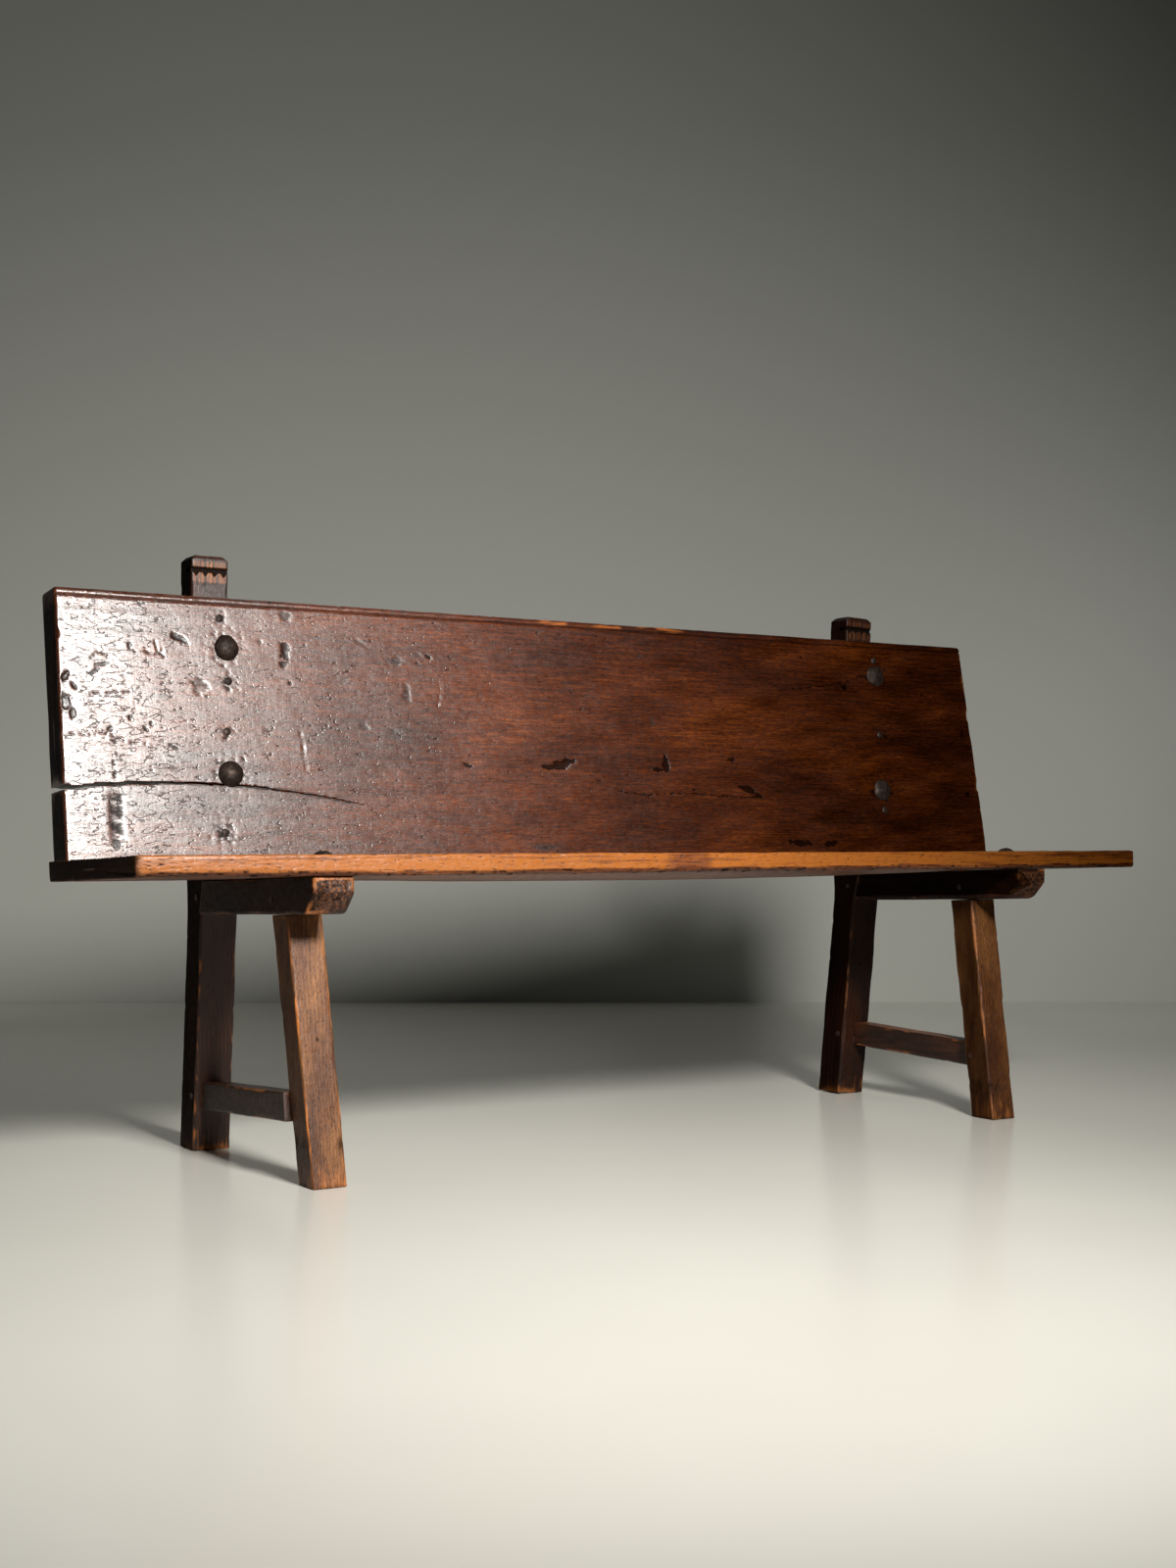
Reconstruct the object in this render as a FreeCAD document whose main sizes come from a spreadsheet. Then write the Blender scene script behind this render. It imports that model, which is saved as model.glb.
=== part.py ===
import FreeCAD, Part
import math
import os
import Sketcher
from FreeCAD import Placement, Rotation, Vector

# A monks bench of the fixed kind: one seat plank and one tall back plank, carried by two
# mortised end frames. Frame of reference: +Z up, the front faces -Y, X runs along the bench,
# and the origin is on the floor under the middle of the whole. Lengths are in millimetres.

DRIVING = {
    # seat plank, laid on the two rails and raked up towards the front
    "seat_long": 1804.0,
    "seat_shift": -7.5,
    "seat_thick": 30.0,
    "seat_overhang": 9.0,
    "seat_rake": 1.85,
    "seat_corner": 8.0,
    "seat_wane": 7.0,
    "seat_edge_round": 3.0,
    "belly_drop": 11.0,
    "belly_inset": 15.0,
    # back plank, nailed to the front of the stiles
    "back_long": 1796.0,
    "back_shift": 11.5,
    "back_high": 434.0,
    "back_thick": 54.0,
    "back_lean": 8.5,
    "back_short_corner": 20.0,
    "back_end_skew": 4.2,
    "back_top_round": 7.0,
    "back_corner_round": 8.0,
    "bead_below_top": 12.0,
    "bead_wide": 3.4,
    "bead_deep": 2.2,
    "split_open": 7.0,
    "split_start_up": 128.5,
    "split_crest_along": 203.0,
    "split_crest_up": 141.0,
    "split_long": 483.0,
    "split_end_up": 110.0,
    # rear stiles: one piece from the floor to the carved head
    "frame_spacing": 1288.0,
    "frame_shift": 14.5,
    "stile_wide": 60.0,
    "stile_deep": 62.0,
    "stile_head_deep": 50.0,
    "stile_face": 172.5,
    "stile_rake": 27.0,
    "knee_lead": 14.0,
    "stile_top_left": 927.0,
    "stile_top_right": 908.0,
    "stile_shift_left": 4.0,
    "stile_shift_right": 3.5,
    "wind_angle_left": 0.4,
    "wind_angle_right": 2.6,
    "cap_side": 8.0,
    "cap_round": 9.0,
    "groove_high": 7.0,
    "groove_deep": 4.5,
    "groove_below_top": 20.0,
    "notch_high": 8.0,
    "notch_deep": 3.0,
    "notch_count": 4.0,
    "stile_wear": 2.5,
    # seat rails
    "rail_top": 418.5,
    "rail_high": 51.5,
    "rail_wide": 62.0,
    "rail_long": 437.0,
    "nose_straight": 22.0,
    "nose_under": 29.0,
    "nose_round": 9.0,
    "rail_chamfer_left": 5.0,
    "rail_chamfer_right": 9.0,
    # front legs, splayed forward and a little inward
    "leg_set": 318.0,
    "leg_splay": 60.0,
    "leg_wide": 55.0,
    "leg_deep": 55.0,
    "leg_horn": 10.0,
    "leg_tenon": 36.0,
    "foot_wide": 52.0,
    "foot_deep": 55.0,
    "foot_trim": 3.0,
    "leg_shift_left": 7.0,
    "leg_shift_right": -3.0,
    "leg_lean_left": 14.0,
    "leg_lean_right": -5.0,
    "leg_chamfer": 5.0,
    # stretchers, one in each end frame
    "stretcher_high": 42.0,
    "stretcher_wide": 37.0,
    "stretcher_rear_left": 107.0,
    "stretcher_front_left": 128.0,
    "stretcher_rear_right": 135.0,
    "stretcher_front_right": 127.0,
    "stretcher_shift_left": 0.0,
    "stretcher_shift_right": 3.0,
    "stretcher_tenon": 34.0,
    # an edge at least this long counts as one of a bar's long arrises
    "long_edge": 100.0,
    # joints
    "tenon_thick": 20.0,
    "tenon_long": 42.0,
    "tenon_shoulder": 7.0,
    "joint_gap": 0.2,
    "peg_wide": 10.0,
    # ironwork
    "dome_wide": 41.0,
    "dome_high": 11.0,
    "shank_wide": 8.0,
    "dome_shank": 94.0,
    "stud_wide": 13.0,
    "stud_high": 1.6,
    "stud_shank_wide": 5.0,
    "stud_shank": 84.0,
    "seat_dome_wide": 30.0,
    "seat_dome_high": 7.0,
    "seat_shank": 62.0,
    "seat_nail_front": 78.0,
    "seat_nail_rear": 300.0,
    "seat_nail_shift_left": 14.0,
    "seat_nail_shift_right": 5.0,
}

# Nails through the back plank: distance from the stile's middle, and height up the plank.
DOMES = {
    "left_upper": (9.0, 353.5),
    "left_lower": (5.6, 156.5),
    "right_upper": (11.0, 366.5),
    "right_lower": (2.0, 149.0),
}
STUDS = {
    "left": [(0.5, 399.5), (9.0, 301.0), (2.5, 222.0), (-9.0, 66.0)],
    "right": [(11.0, 396.0), (8.5, 253.5), (3.0, 110.5)],
}
for place_name, (across, up) in DOMES.items():
    DRIVING[f"dome_{place_name}_across"] = across
    DRIVING[f"dome_{place_name}_up"] = up
for side_name, row in STUDS.items():
    for number, (across, up) in enumerate(row, start=1):
        DRIVING[f"stud_{side_name}_{number}_across"] = across
        DRIVING[f"stud_{side_name}_{number}_up"] = up

doc = FreeCAD.newDocument("MonksBench")
sheet = doc.addObject("Spreadsheet::Sheet", "Sizes")
for row, (alias, number) in enumerate(DRIVING.items(), start=1):
    sheet.set(f"A{row}", alias)
    sheet.set(f"B{row}", str(number))
    sheet.setAlias(f"B{row}", alias)
doc.recompute()


def value(text):
    """The number that an expression over the sheet gives."""
    result = sheet.evalExpression(str(text))
    return float(getattr(result, "Value", result))


def plane(body, role):
    return [item for item in body.Origin.OriginFeatures if item.Role == role][0]


def new_sketch(body, name, role):
    sketch = body.newObject("Sketcher::SketchObject", name)
    sketch.AttachmentSupport = [(plane(body, role), "")]
    sketch.MapMode = "FlatFace"
    return sketch


def pin_point(sketch, geometry, position, across, up):
    """Bind one point of a sketch to two expressions."""
    for kind, text in (("DistanceX", across), ("DistanceY", up)):
        number = value(text)
        index = sketch.addConstraint(
            Sketcher.Constraint(kind, -1, 1, geometry, position, number)
        )
        sketch.setExpression(f"Constraints[{index}]", str(text))


def outline(body, name, role, corners):
    """A closed outline of straight sides through corners given as expressions."""
    sketch = new_sketch(body, name, role)
    points = [Vector(value(across), value(up), 0) for across, up in corners]
    count = len(points)
    for index in range(count):
        side = Part.LineSegment(points[index], points[(index + 1) % count])
        sketch.addGeometry(side, False)
    for index, (across, up) in enumerate(corners):
        following = (index + 1) % count
        sketch.addConstraint(Sketcher.Constraint("Coincident", index, 2, following, 1))
        pin_point(sketch, index, 1, across, up)
    return sketch


def pad(body, name, sketch, length, side="Symmetric"):
    feature = body.newObject("PartDesign::Pad", name)
    feature.Profile = sketch
    feature.SideType = side
    feature.setExpression("Length", str(length))
    doc.recompute()
    return feature


def pocket(body, name, sketch, length, side="Symmetric", reverse=False):
    """Cut a sketch into the body, and insist that it removed something."""
    before = body.Shape.Volume
    feature = body.newObject("PartDesign::Pocket", name)
    feature.Profile = sketch
    feature.SideType = side
    feature.Reversed = reverse
    feature.setExpression("Length", str(length))
    doc.recompute()
    if body.Shape.Volume > before - 1.0:
        raise RuntimeError(f"{name} cuts nothing")
    return feature


def edges_where(shape, test):
    return [f"Edge{index}" for index, edge in enumerate(shape.Edges, start=1) if test(edge)]


def is_straight_along(edge, axis, least):
    """True for a straight edge longer than least that runs nearly along axis."""
    if edge.Length < least or len(edge.Vertexes) < 2:
        return False
    run = edge.Vertexes[-1].Point - edge.Vertexes[0].Point
    if run.Length < 0.999 * edge.Length:
        return False
    return abs(run.dot(axis)) > 0.9 * run.Length


def dress(body, kind, name, base, test, size):
    """Chamfer or fillet the edges of a body that pass a test."""
    names = edges_where(base.Shape, test)
    if not names:
        raise RuntimeError(f"{name} finds no edge")
    feature = body.newObject(f"PartDesign::{kind}", name)
    feature.Base = (base, names)
    feature.setExpression("Size" if kind == "Chamfer" else "Radius", str(size))
    doc.recompute()
    return feature


def cut(name, base, tools):
    """The base piece less its tools, as one object with the piece's own name."""
    joined = doc.addObject("Part::MultiFuse", f"{name}_tools")
    joined.Shapes = tools
    result = doc.addObject("Part::Cut", name)
    result.Base = base
    result.Tool = joined
    doc.recompute()
    return result


def seat_underside(station):
    """Height of the plane on which rails and seat meet, at a station along Y."""
    return f"(Sizes.rail_top + (Sizes.stile_face - ({station})) * tan(Sizes.seat_rake * 1 deg))"


def rail_underside(station):
    return f"({seat_underside(station)} - Sizes.rail_high)"


def back_rear(height):
    """Station along Y of the back plank's rear face at a height."""
    return (
        "(Sizes.stile_face - Sizes.knee_lead"
        f" + (({height}) - Sizes.rail_top) * tan(Sizes.back_lean * 1 deg))"
    )


def frame_station(side):
    sign = {"left": "-", "right": "+"}[side]
    return f"(Sizes.frame_shift {sign} Sizes.frame_spacing / 2)"


def stile_station(side):
    """Station along X of the middle of a rear stile where the rail enters it."""
    return f"({frame_station(side)} + Sizes.stile_shift_{side})"


def stile_front(height):
    """Station along Y of the lower stile's front face at a height."""
    return (
        "(Sizes.stile_face + Sizes.stile_rake"
        f" * (1 - ({height}) / (Sizes.rail_top - Sizes.rail_high)))"
    )


LEG_STATION = "(Sizes.stile_face - Sizes.leg_set)"
LEG_FOOT = f"({LEG_STATION} - Sizes.leg_splay)"
LEG_TOP = f"({rail_underside(LEG_STATION)} + Sizes.leg_horn)"


def leg_rear(height):
    """Station along Y of the front leg's rear face at a height."""
    foot = f"({LEG_FOOT} + Sizes.foot_deep)"
    top = f"({LEG_STATION} + Sizes.leg_deep)"
    return f"({foot} + ({top} - {foot}) * ({height}) / {LEG_TOP})"


def place(item, station, height="0", turn=None):
    """Set a piece at a station along the bench, leaning sideways by turn degrees about height."""
    if turn is None:
        item.setExpression(".Placement.Base.x", station)
        return
    item.Placement = Placement(Vector(0, 0, 0), Rotation(Vector(0, 1, 0), 1.0))
    item.setExpression(".Placement.Rotation.Angle", turn)
    item.setExpression(".Placement.Base.x", f"{station} - {height} * sin({turn} * 1 deg)")
    item.setExpression(".Placement.Base.z", f"{height} * (1 - cos({turn} * 1 deg))")


def rear_stile(side):
    """One continuous post: raked foot, knee at the rail, leaning rest for the back, carved head."""
    name = f"rear_stile_{side}"
    top = f"Sizes.stile_top_{side}"
    rail_bottom = "(Sizes.rail_top - Sizes.rail_high)"
    back_top = "(Sizes.rail_top + Sizes.back_high * cos(Sizes.back_lean * 1 deg))"
    head_front = back_rear(back_top)
    head_rear = f"({head_front} + Sizes.stile_head_deep)"
    body = doc.addObject("PartDesign::Body", f"{name}_body")
    profile = outline(body, f"{name}_side", "YZ_Plane", [
        (stile_front("-Sizes.foot_trim"), "-Sizes.foot_trim"),
        ("Sizes.stile_face", rail_bottom),
        ("Sizes.stile_face - Sizes.knee_lead", "Sizes.rail_top"),
        (head_front, back_top),
        (head_front, top),
        (head_rear, top),
        (head_rear, back_top),
        ("Sizes.stile_face + Sizes.stile_deep", rail_bottom),
        (f"{stile_front('-Sizes.foot_trim')} + Sizes.stile_deep", "-Sizes.foot_trim"),
    ])
    post = pad(body, f"{name}_post", profile, "Sizes.stile_wide")
    worn = dress(
        body, "Chamfer", f"{name}_arrises", post,
        lambda edge: is_straight_along(edge, Vector(0, 0, 1), 30.0), "Sizes.stile_wear",
    )
    crown = value(top)
    sloped = dress(
        body, "Chamfer", f"{name}_cap_sides", worn,
        lambda edge: is_straight_along(edge, Vector(0, 1, 0), 10.0)
        and abs(edge.BoundBox.ZMin - crown) < 0.01,
        "Sizes.cap_side",
    )
    dress(
        body, "Fillet", f"{name}_cap", sloped,
        lambda edge: is_straight_along(edge, Vector(1, 0, 0), 10.0)
        and abs(edge.BoundBox.ZMin - crown) < 0.01,
        "Sizes.cap_round",
    )
    groove_top = f"({top} - Sizes.groove_below_top)"
    groove = outline(body, f"{name}_groove_side", "YZ_Plane", [
        (f"{head_front} - 1", f"{groove_top} + 1"),
        (f"{head_front} + Sizes.groove_deep", f"{groove_top} - Sizes.groove_high * 0.4"),
        (f"{head_front} + Sizes.groove_deep", f"{groove_top} - Sizes.groove_high"),
        (f"{head_front} - 1", f"{groove_top} - Sizes.groove_high"),
    ])
    pocket(body, f"{name}_groove", groove, "Sizes.stile_wide + 2")
    notch_step = "(Sizes.stile_wide / Sizes.notch_count)"
    notch_base = f"({groove_top} - Sizes.groove_high + 0.5)"
    first = "(-Sizes.stile_wide / 2)"
    notch = outline(body, f"{name}_notch_front", "XZ_Plane", [
        (f"{first} + {notch_step} * 0.08", notch_base),
        (f"{first} + {notch_step} * 0.92", notch_base),
        (f"{first} + {notch_step} * 0.5", f"{notch_base} - Sizes.notch_high"),
    ])
    gouge = pocket(
        body, f"{name}_notch", notch, f"{head_front} + Sizes.notch_deep",
        side="One side",
    )
    row = body.newObject("PartDesign::LinearPattern", f"{name}_notches")
    row.Originals = [gouge]
    row.Direction = (plane(body, "X_Axis"), [""])
    row.setExpression("Length", f"{notch_step} * (Sizes.notch_count - 1)")
    row.setExpression("Occurrences", "Sizes.notch_count")
    body.Tip = row
    place(body, stile_station(side), "Sizes.rail_top", f"Sizes.wind_angle_{side}")
    doc.recompute()
    return body


def seat_rail(side):
    """A bearer tenoned into the stile, raked with the seat, its nose undercut."""
    name = f"seat_rail_{side}"
    nose = "(Sizes.stile_face - Sizes.rail_long)"
    nose_foot = f"({nose} + Sizes.nose_under)"
    shoulder_top = "(Sizes.stile_face - Sizes.knee_lead - Sizes.joint_gap)"
    shoulder_foot = "(Sizes.stile_face - Sizes.joint_gap)"
    body = doc.addObject("PartDesign::Body", f"{name}_body")
    profile = outline(body, f"{name}_side", "YZ_Plane", [
        (nose, seat_underside(nose)),
        (nose, f"{seat_underside(nose)} - Sizes.nose_straight"),
        (nose_foot, rail_underside(nose_foot)),
        (shoulder_foot, rail_underside(shoulder_foot)),
        (shoulder_top, seat_underside(shoulder_top)),
    ])
    bar = pad(body, f"{name}_bar", profile, "Sizes.rail_wide")
    worn = dress(
        body, "Chamfer", f"{name}_lower_arrises", bar,
        lambda edge: is_straight_along(edge, Vector(0, 1, 0), value("Sizes.long_edge"))
        and edge.CenterOfMass.z < value("Sizes.rail_top - Sizes.rail_high / 2"),
        f"Sizes.rail_chamfer_{side}",
    )
    dress(
        body, "Fillet", f"{name}_nose", worn,
        lambda edge: is_straight_along(edge, Vector(1, 0, 0), 10.0)
        and edge.CenterOfMass.y < value(f"{nose} + Sizes.nose_under + 1")
        and edge.CenterOfMass.z < value(f"{seat_underside(nose)} - Sizes.nose_straight / 2"),
        "Sizes.nose_round",
    )
    tenon = rail_tenon_outline(body, f"{name}_tenon_side", "0")
    pad(body, f"{name}_tenon", tenon, "Sizes.tenon_thick")
    socket = leg_tenon_outline(body, f"{name}_socket_side", "Sizes.joint_gap")
    pocket(body, f"{name}_socket", socket, "Sizes.tenon_thick + 2 * Sizes.joint_gap")
    place(body, frame_station(side))
    doc.recompute()
    return body


def rail_tenon_outline(body, name, spare):
    """Side view of the rail's tenon, grown by spare on every face that the mortise shares."""
    root = "(Sizes.stile_face - Sizes.knee_lead - 4)"
    tip = f"(Sizes.stile_face + Sizes.tenon_long + {spare})"
    inset = f"(Sizes.tenon_shoulder - {spare})"
    return outline(body, name, "YZ_Plane", [
        (root, f"{rail_underside(root)} + {inset}"),
        (tip, f"{rail_underside(tip)} + {inset}"),
        (tip, f"{seat_underside(tip)} - {inset}"),
        (root, f"{seat_underside(root)} - {inset}"),
    ])


def leg_tenon_outline(body, name, spare):
    """Side view of the front leg's tenon, which stands in the rail's underside."""
    front = f"({LEG_STATION} + Sizes.tenon_shoulder - {spare})"
    rear = f"({LEG_STATION} + Sizes.leg_deep - Sizes.tenon_shoulder + {spare})"
    return outline(body, name, "YZ_Plane", [
        (front, f"{rail_underside(front)} - 6"),
        (rear, f"{rail_underside(rear)} - 6"),
        (rear, f"{rail_underside(rear)} + Sizes.leg_tenon + {spare}"),
        (front, f"{rail_underside(front)} + Sizes.leg_tenon + {spare}"),
    ])


def section(body, name, height, left, right, front, rear):
    """A level section of a tapered leg at a height: a rectangle with its corners worn off."""
    worn = "Sizes.leg_chamfer"
    sketch = outline(body, name, "XY_Plane", [
        (f"{left} + {worn}", front),
        (f"{right} - {worn}", front),
        (right, f"{front} + {worn}"),
        (right, f"{rear} - {worn}"),
        (f"{right} - {worn}", rear),
        (f"{left} + {worn}", rear),
        (left, f"{rear} - {worn}"),
        (left, f"{front} + {worn}"),
    ])
    sketch.setExpression(".AttachmentOffset.Base.z", height)
    return sketch


def front_leg(side):
    """A tapered leg splayed forward and leaning sideways, with a stub tenon into the rail."""
    name = f"front_leg_{side}"
    shift = f"Sizes.leg_shift_{side}"
    foot_shift = f"({shift} + Sizes.leg_lean_{side})"
    body = doc.addObject("PartDesign::Body", f"{name}_body")
    foot = section(
        body, f"{name}_foot", "0",
        f"{foot_shift} - Sizes.foot_wide / 2", f"{foot_shift} + Sizes.foot_wide / 2",
        LEG_FOOT, f"{LEG_FOOT} + Sizes.foot_deep",
    )
    top = section(
        body, f"{name}_top", LEG_TOP,
        f"{shift} - Sizes.leg_wide / 2", f"{shift} + Sizes.leg_wide / 2",
        LEG_STATION, f"{LEG_STATION} + Sizes.leg_deep",
    )
    shaft = body.newObject("PartDesign::AdditiveLoft", f"{name}_shaft")
    shaft.Profile = foot
    shaft.Sections = [top]
    shaft.Ruled = True
    doc.recompute()
    ahead = f"({LEG_STATION} - 40)"
    behind = f"({LEG_STATION} + Sizes.leg_deep + 40)"
    waste = outline(body, f"{name}_shoulder_side", "YZ_Plane", [
        (ahead, f"{rail_underside(ahead)} - Sizes.joint_gap"),
        (behind, f"{rail_underside(behind)} - Sizes.joint_gap"),
        (behind, f"{rail_underside(behind)} + 60"),
        (ahead, f"{rail_underside(ahead)} + 60"),
    ])
    pocket(body, f"{name}_shoulder", waste, "Sizes.leg_wide * 3")
    tenon = leg_tenon_outline(body, f"{name}_tenon_side", "0")
    pad(body, f"{name}_tenon", tenon, "Sizes.tenon_thick")
    place(body, frame_station(side))
    doc.recompute()
    return body


def stretcher_line(side):
    """Ends of a stretcher's top edge, and its height at any station along Y."""
    rear_high = f"Sizes.stretcher_rear_{side}"
    front_high = f"Sizes.stretcher_front_{side}"
    rear = stile_front(rear_high)
    front = leg_rear(front_high)

    def top(station):
        share = f"(({rear} - ({station})) / ({rear} - {front}))"
        return f"({rear_high} + ({front_high} - {rear_high}) * {share})"

    return rear, front, top


def stretcher_tenon_outline(body, name, side, spare):
    """Side view of the bar whose two ends are the stretcher's tenons."""
    rear, front, top = stretcher_line(side)
    rear_tip = f"({rear} + Sizes.stretcher_tenon + {spare})"
    front_tip = f"({front} - Sizes.stretcher_tenon - {spare})"
    inset = f"(Sizes.tenon_shoulder - {spare})"
    return outline(body, name, "YZ_Plane", [
        (front_tip, f"{top(front_tip)} - {inset}"),
        (front_tip, f"{top(front_tip)} - Sizes.stretcher_high + {inset}"),
        (rear_tip, f"{top(rear_tip)} - Sizes.stretcher_high + {inset}"),
        (rear_tip, f"{top(rear_tip)} - {inset}"),
    ])


def stretcher(side):
    """A plain bar low down between stile and leg, tenoned at both ends."""
    name = f"stretcher_{side}"
    rear, front, top = stretcher_line(side)
    high = "Sizes.stretcher_high"
    body = doc.addObject("PartDesign::Body", f"{name}_body")
    rear_foot = stile_front(f"{top(rear)} - {high}")
    front_foot = leg_rear(f"{top(front)} - {high}")
    profile = outline(body, f"{name}_side", "YZ_Plane", [
        (f"{front} + Sizes.joint_gap", top(front)),
        (f"{front_foot} + Sizes.joint_gap", f"{top(front)} - {high}"),
        (f"{rear_foot} - Sizes.joint_gap", f"{top(rear)} - {high}"),
        (f"{rear} - Sizes.joint_gap", top(rear)),
    ])
    bar = pad(body, f"{name}_bar", profile, "Sizes.stretcher_wide")
    dress(
        body, "Chamfer", f"{name}_arrises", bar,
        lambda edge: is_straight_along(edge, Vector(0, 1, 0), value("Sizes.long_edge")),
        "Sizes.stile_wear",
    )
    tenon = stretcher_tenon_outline(body, f"{name}_tenon_side", side, "0")
    pad(body, f"{name}_tenons", tenon, "Sizes.tenon_thick")
    place(body, f"{frame_station(side)} + Sizes.stretcher_shift_{side}")
    doc.recompute()
    return body


def mortise(name, draw, station):
    """A block of waste that is cut from a piece to take a tenon."""
    body = doc.addObject("PartDesign::Body", name)
    pad(body, f"{name}_waste", draw(body), "Sizes.tenon_thick + 2 * Sizes.joint_gap")
    place(body, station)
    doc.recompute()
    return body


def seat_slab():
    """The seat plank, drawn flat in its own frame and laid on the raked rails."""
    body = doc.addObject("PartDesign::Body", "seat_plank")
    front = "(-(Sizes.rail_long + Sizes.seat_overhang) / cos(Sizes.seat_rake * 1 deg))"
    lap = (
        "((Sizes.knee_lead + Sizes.back_thick / cos(Sizes.back_lean * 1 deg)"
        " + 2 * Sizes.joint_gap)"
        " / (1 + tan(Sizes.back_lean * 1 deg) * tan(Sizes.seat_rake * 1 deg)))"
    )
    rear = f"(-{lap} / cos(Sizes.seat_rake * 1 deg))"
    bevel = "(Sizes.seat_thick * tan((Sizes.back_lean - Sizes.seat_rake) * 1 deg))"
    profile = outline(body, "seat_side", "YZ_Plane", [
        (front, "0"),
        (rear, "0"),
        (f"{rear} + {bevel}", "Sizes.seat_thick"),
        (front, "Sizes.seat_thick"),
    ])
    slab = pad(body, "seat_slab", profile, "Sizes.seat_long")
    edge_at = value(front)
    worn = dress(
        body, "Chamfer", "seat_corners", slab,
        lambda edge: is_straight_along(edge, Vector(0, 0, 1), 10.0)
        and abs(edge.CenterOfMass.y - edge_at) < 0.01,
        "Sizes.seat_corner",
    )
    wane = dress(
        body, "Chamfer", "seat_lower_wane", worn,
        lambda edge: is_straight_along(edge, Vector(1, 0, 0), value("Sizes.long_edge"))
        and abs(edge.CenterOfMass.y - edge_at) < 0.01
        and edge.CenterOfMass.z < 0.01,
        "Sizes.seat_wane",
    )
    dress(
        body, "Fillet", "seat_front_arris", wane,
        lambda edge: is_straight_along(edge, Vector(1, 0, 0), value("Sizes.long_edge"))
        and abs(edge.CenterOfMass.y - edge_at) < 0.01
        and edge.CenterOfMass.z > value("Sizes.seat_thick - 1"),
        "Sizes.seat_edge_round",
    )
    lay_on_rails(body)
    middle = "(Sizes.frame_shift - Sizes.seat_shift)"
    half = "((Sizes.frame_spacing - Sizes.rail_wide) / 2 - Sizes.belly_inset)"
    along = bow("belly_along", "XZ_Plane", middle, half, "Sizes.seat_long")
    depth_middle = f"(({front} + {rear}) / 2)"
    half_depth = f"(({rear} - {front}) / 2 - Sizes.belly_inset)"
    across = bow("belly_across", "YZ_Plane", depth_middle, half_depth, "Sizes.seat_long")
    belly = doc.addObject("Part::MultiCommon", "seat_belly")
    belly.Shapes = [along, across]
    plank = doc.addObject("Part::Fuse", "seat_with_belly")
    plank.Base = body
    plank.Tool = belly
    doc.recompute()
    return plank


def lay_on_rails(item):
    """Put an object drawn in the seat's flat frame onto the raked rails."""
    item.Placement = Placement(Vector(0, 0, 0), Rotation(Vector(1, 0, 0), -1.0))
    item.setExpression(".Placement.Rotation.Angle", "-Sizes.seat_rake")
    item.setExpression(".Placement.Base.x", "Sizes.seat_shift")
    item.setExpression(".Placement.Base.y", "Sizes.stile_face")
    item.setExpression(".Placement.Base.z", "Sizes.rail_top + Sizes.joint_gap")
    doc.recompute()


def bow(name, role, middle, half, length):
    """A segment of a circle hanging below the seat's underside, carried along the third axis."""
    body = doc.addObject("PartDesign::Body", name)
    drop = "Sizes.belly_drop"
    radius = f"(({half}) ^ 2 + {drop} ^ 2) / (2 * {drop})"
    sketch = new_sketch(body, f"{name}_arc", role)
    ends = (f"{middle} - {half}", f"{middle} + {half}")
    start, end = (Vector(value(text), 1, 0) for text in ends)
    lowest = Vector(value(middle), 1 - value(drop), 0)
    sketch.addGeometry(Part.Arc(start, lowest, end), False)
    sketch.addGeometry(Part.LineSegment(end, start), False)
    sketch.addConstraint(Sketcher.Constraint("Coincident", 0, 2, 1, 1))
    sketch.addConstraint(Sketcher.Constraint("Coincident", 1, 2, 0, 1))
    pin_point(sketch, 1, 2, ends[0], "1")
    pin_point(sketch, 1, 1, ends[1], "1")
    size = sketch.addConstraint(Sketcher.Constraint("Radius", 0, value(radius)))
    sketch.setExpression(f"Constraints[{size}]", radius)
    pad(body, f"{name}_block", sketch, f"2 * {length}")
    lay_on_rails(body)
    return body


BACK_Y = "(Sizes.stile_face - Sizes.knee_lead - Sizes.joint_gap)"
BACK_Z = f"({seat_underside(BACK_Y)} + Sizes.joint_gap)"


def stand_on_back(item, across="0", up="0", out="0"):
    """Turn local Z to the back plank's outward face and move to a point on the plank."""
    item.Placement = Placement(Vector(0, 0, 0), Rotation(Vector(1, 0, 0), 80.0))
    item.setExpression(".Placement.Rotation.Angle", "90 - Sizes.back_lean")
    lean = "Sizes.back_lean * 1 deg"
    item.setExpression(".Placement.Base.x", str(across))
    item.setExpression(".Placement.Base.y", f"{BACK_Y} + ({up}) * sin({lean}) - ({out}) * cos({lean})")
    item.setExpression(".Placement.Base.z", f"{BACK_Z} + ({up}) * cos({lean}) + ({out}) * sin({lean})")
    doc.recompute()


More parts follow.
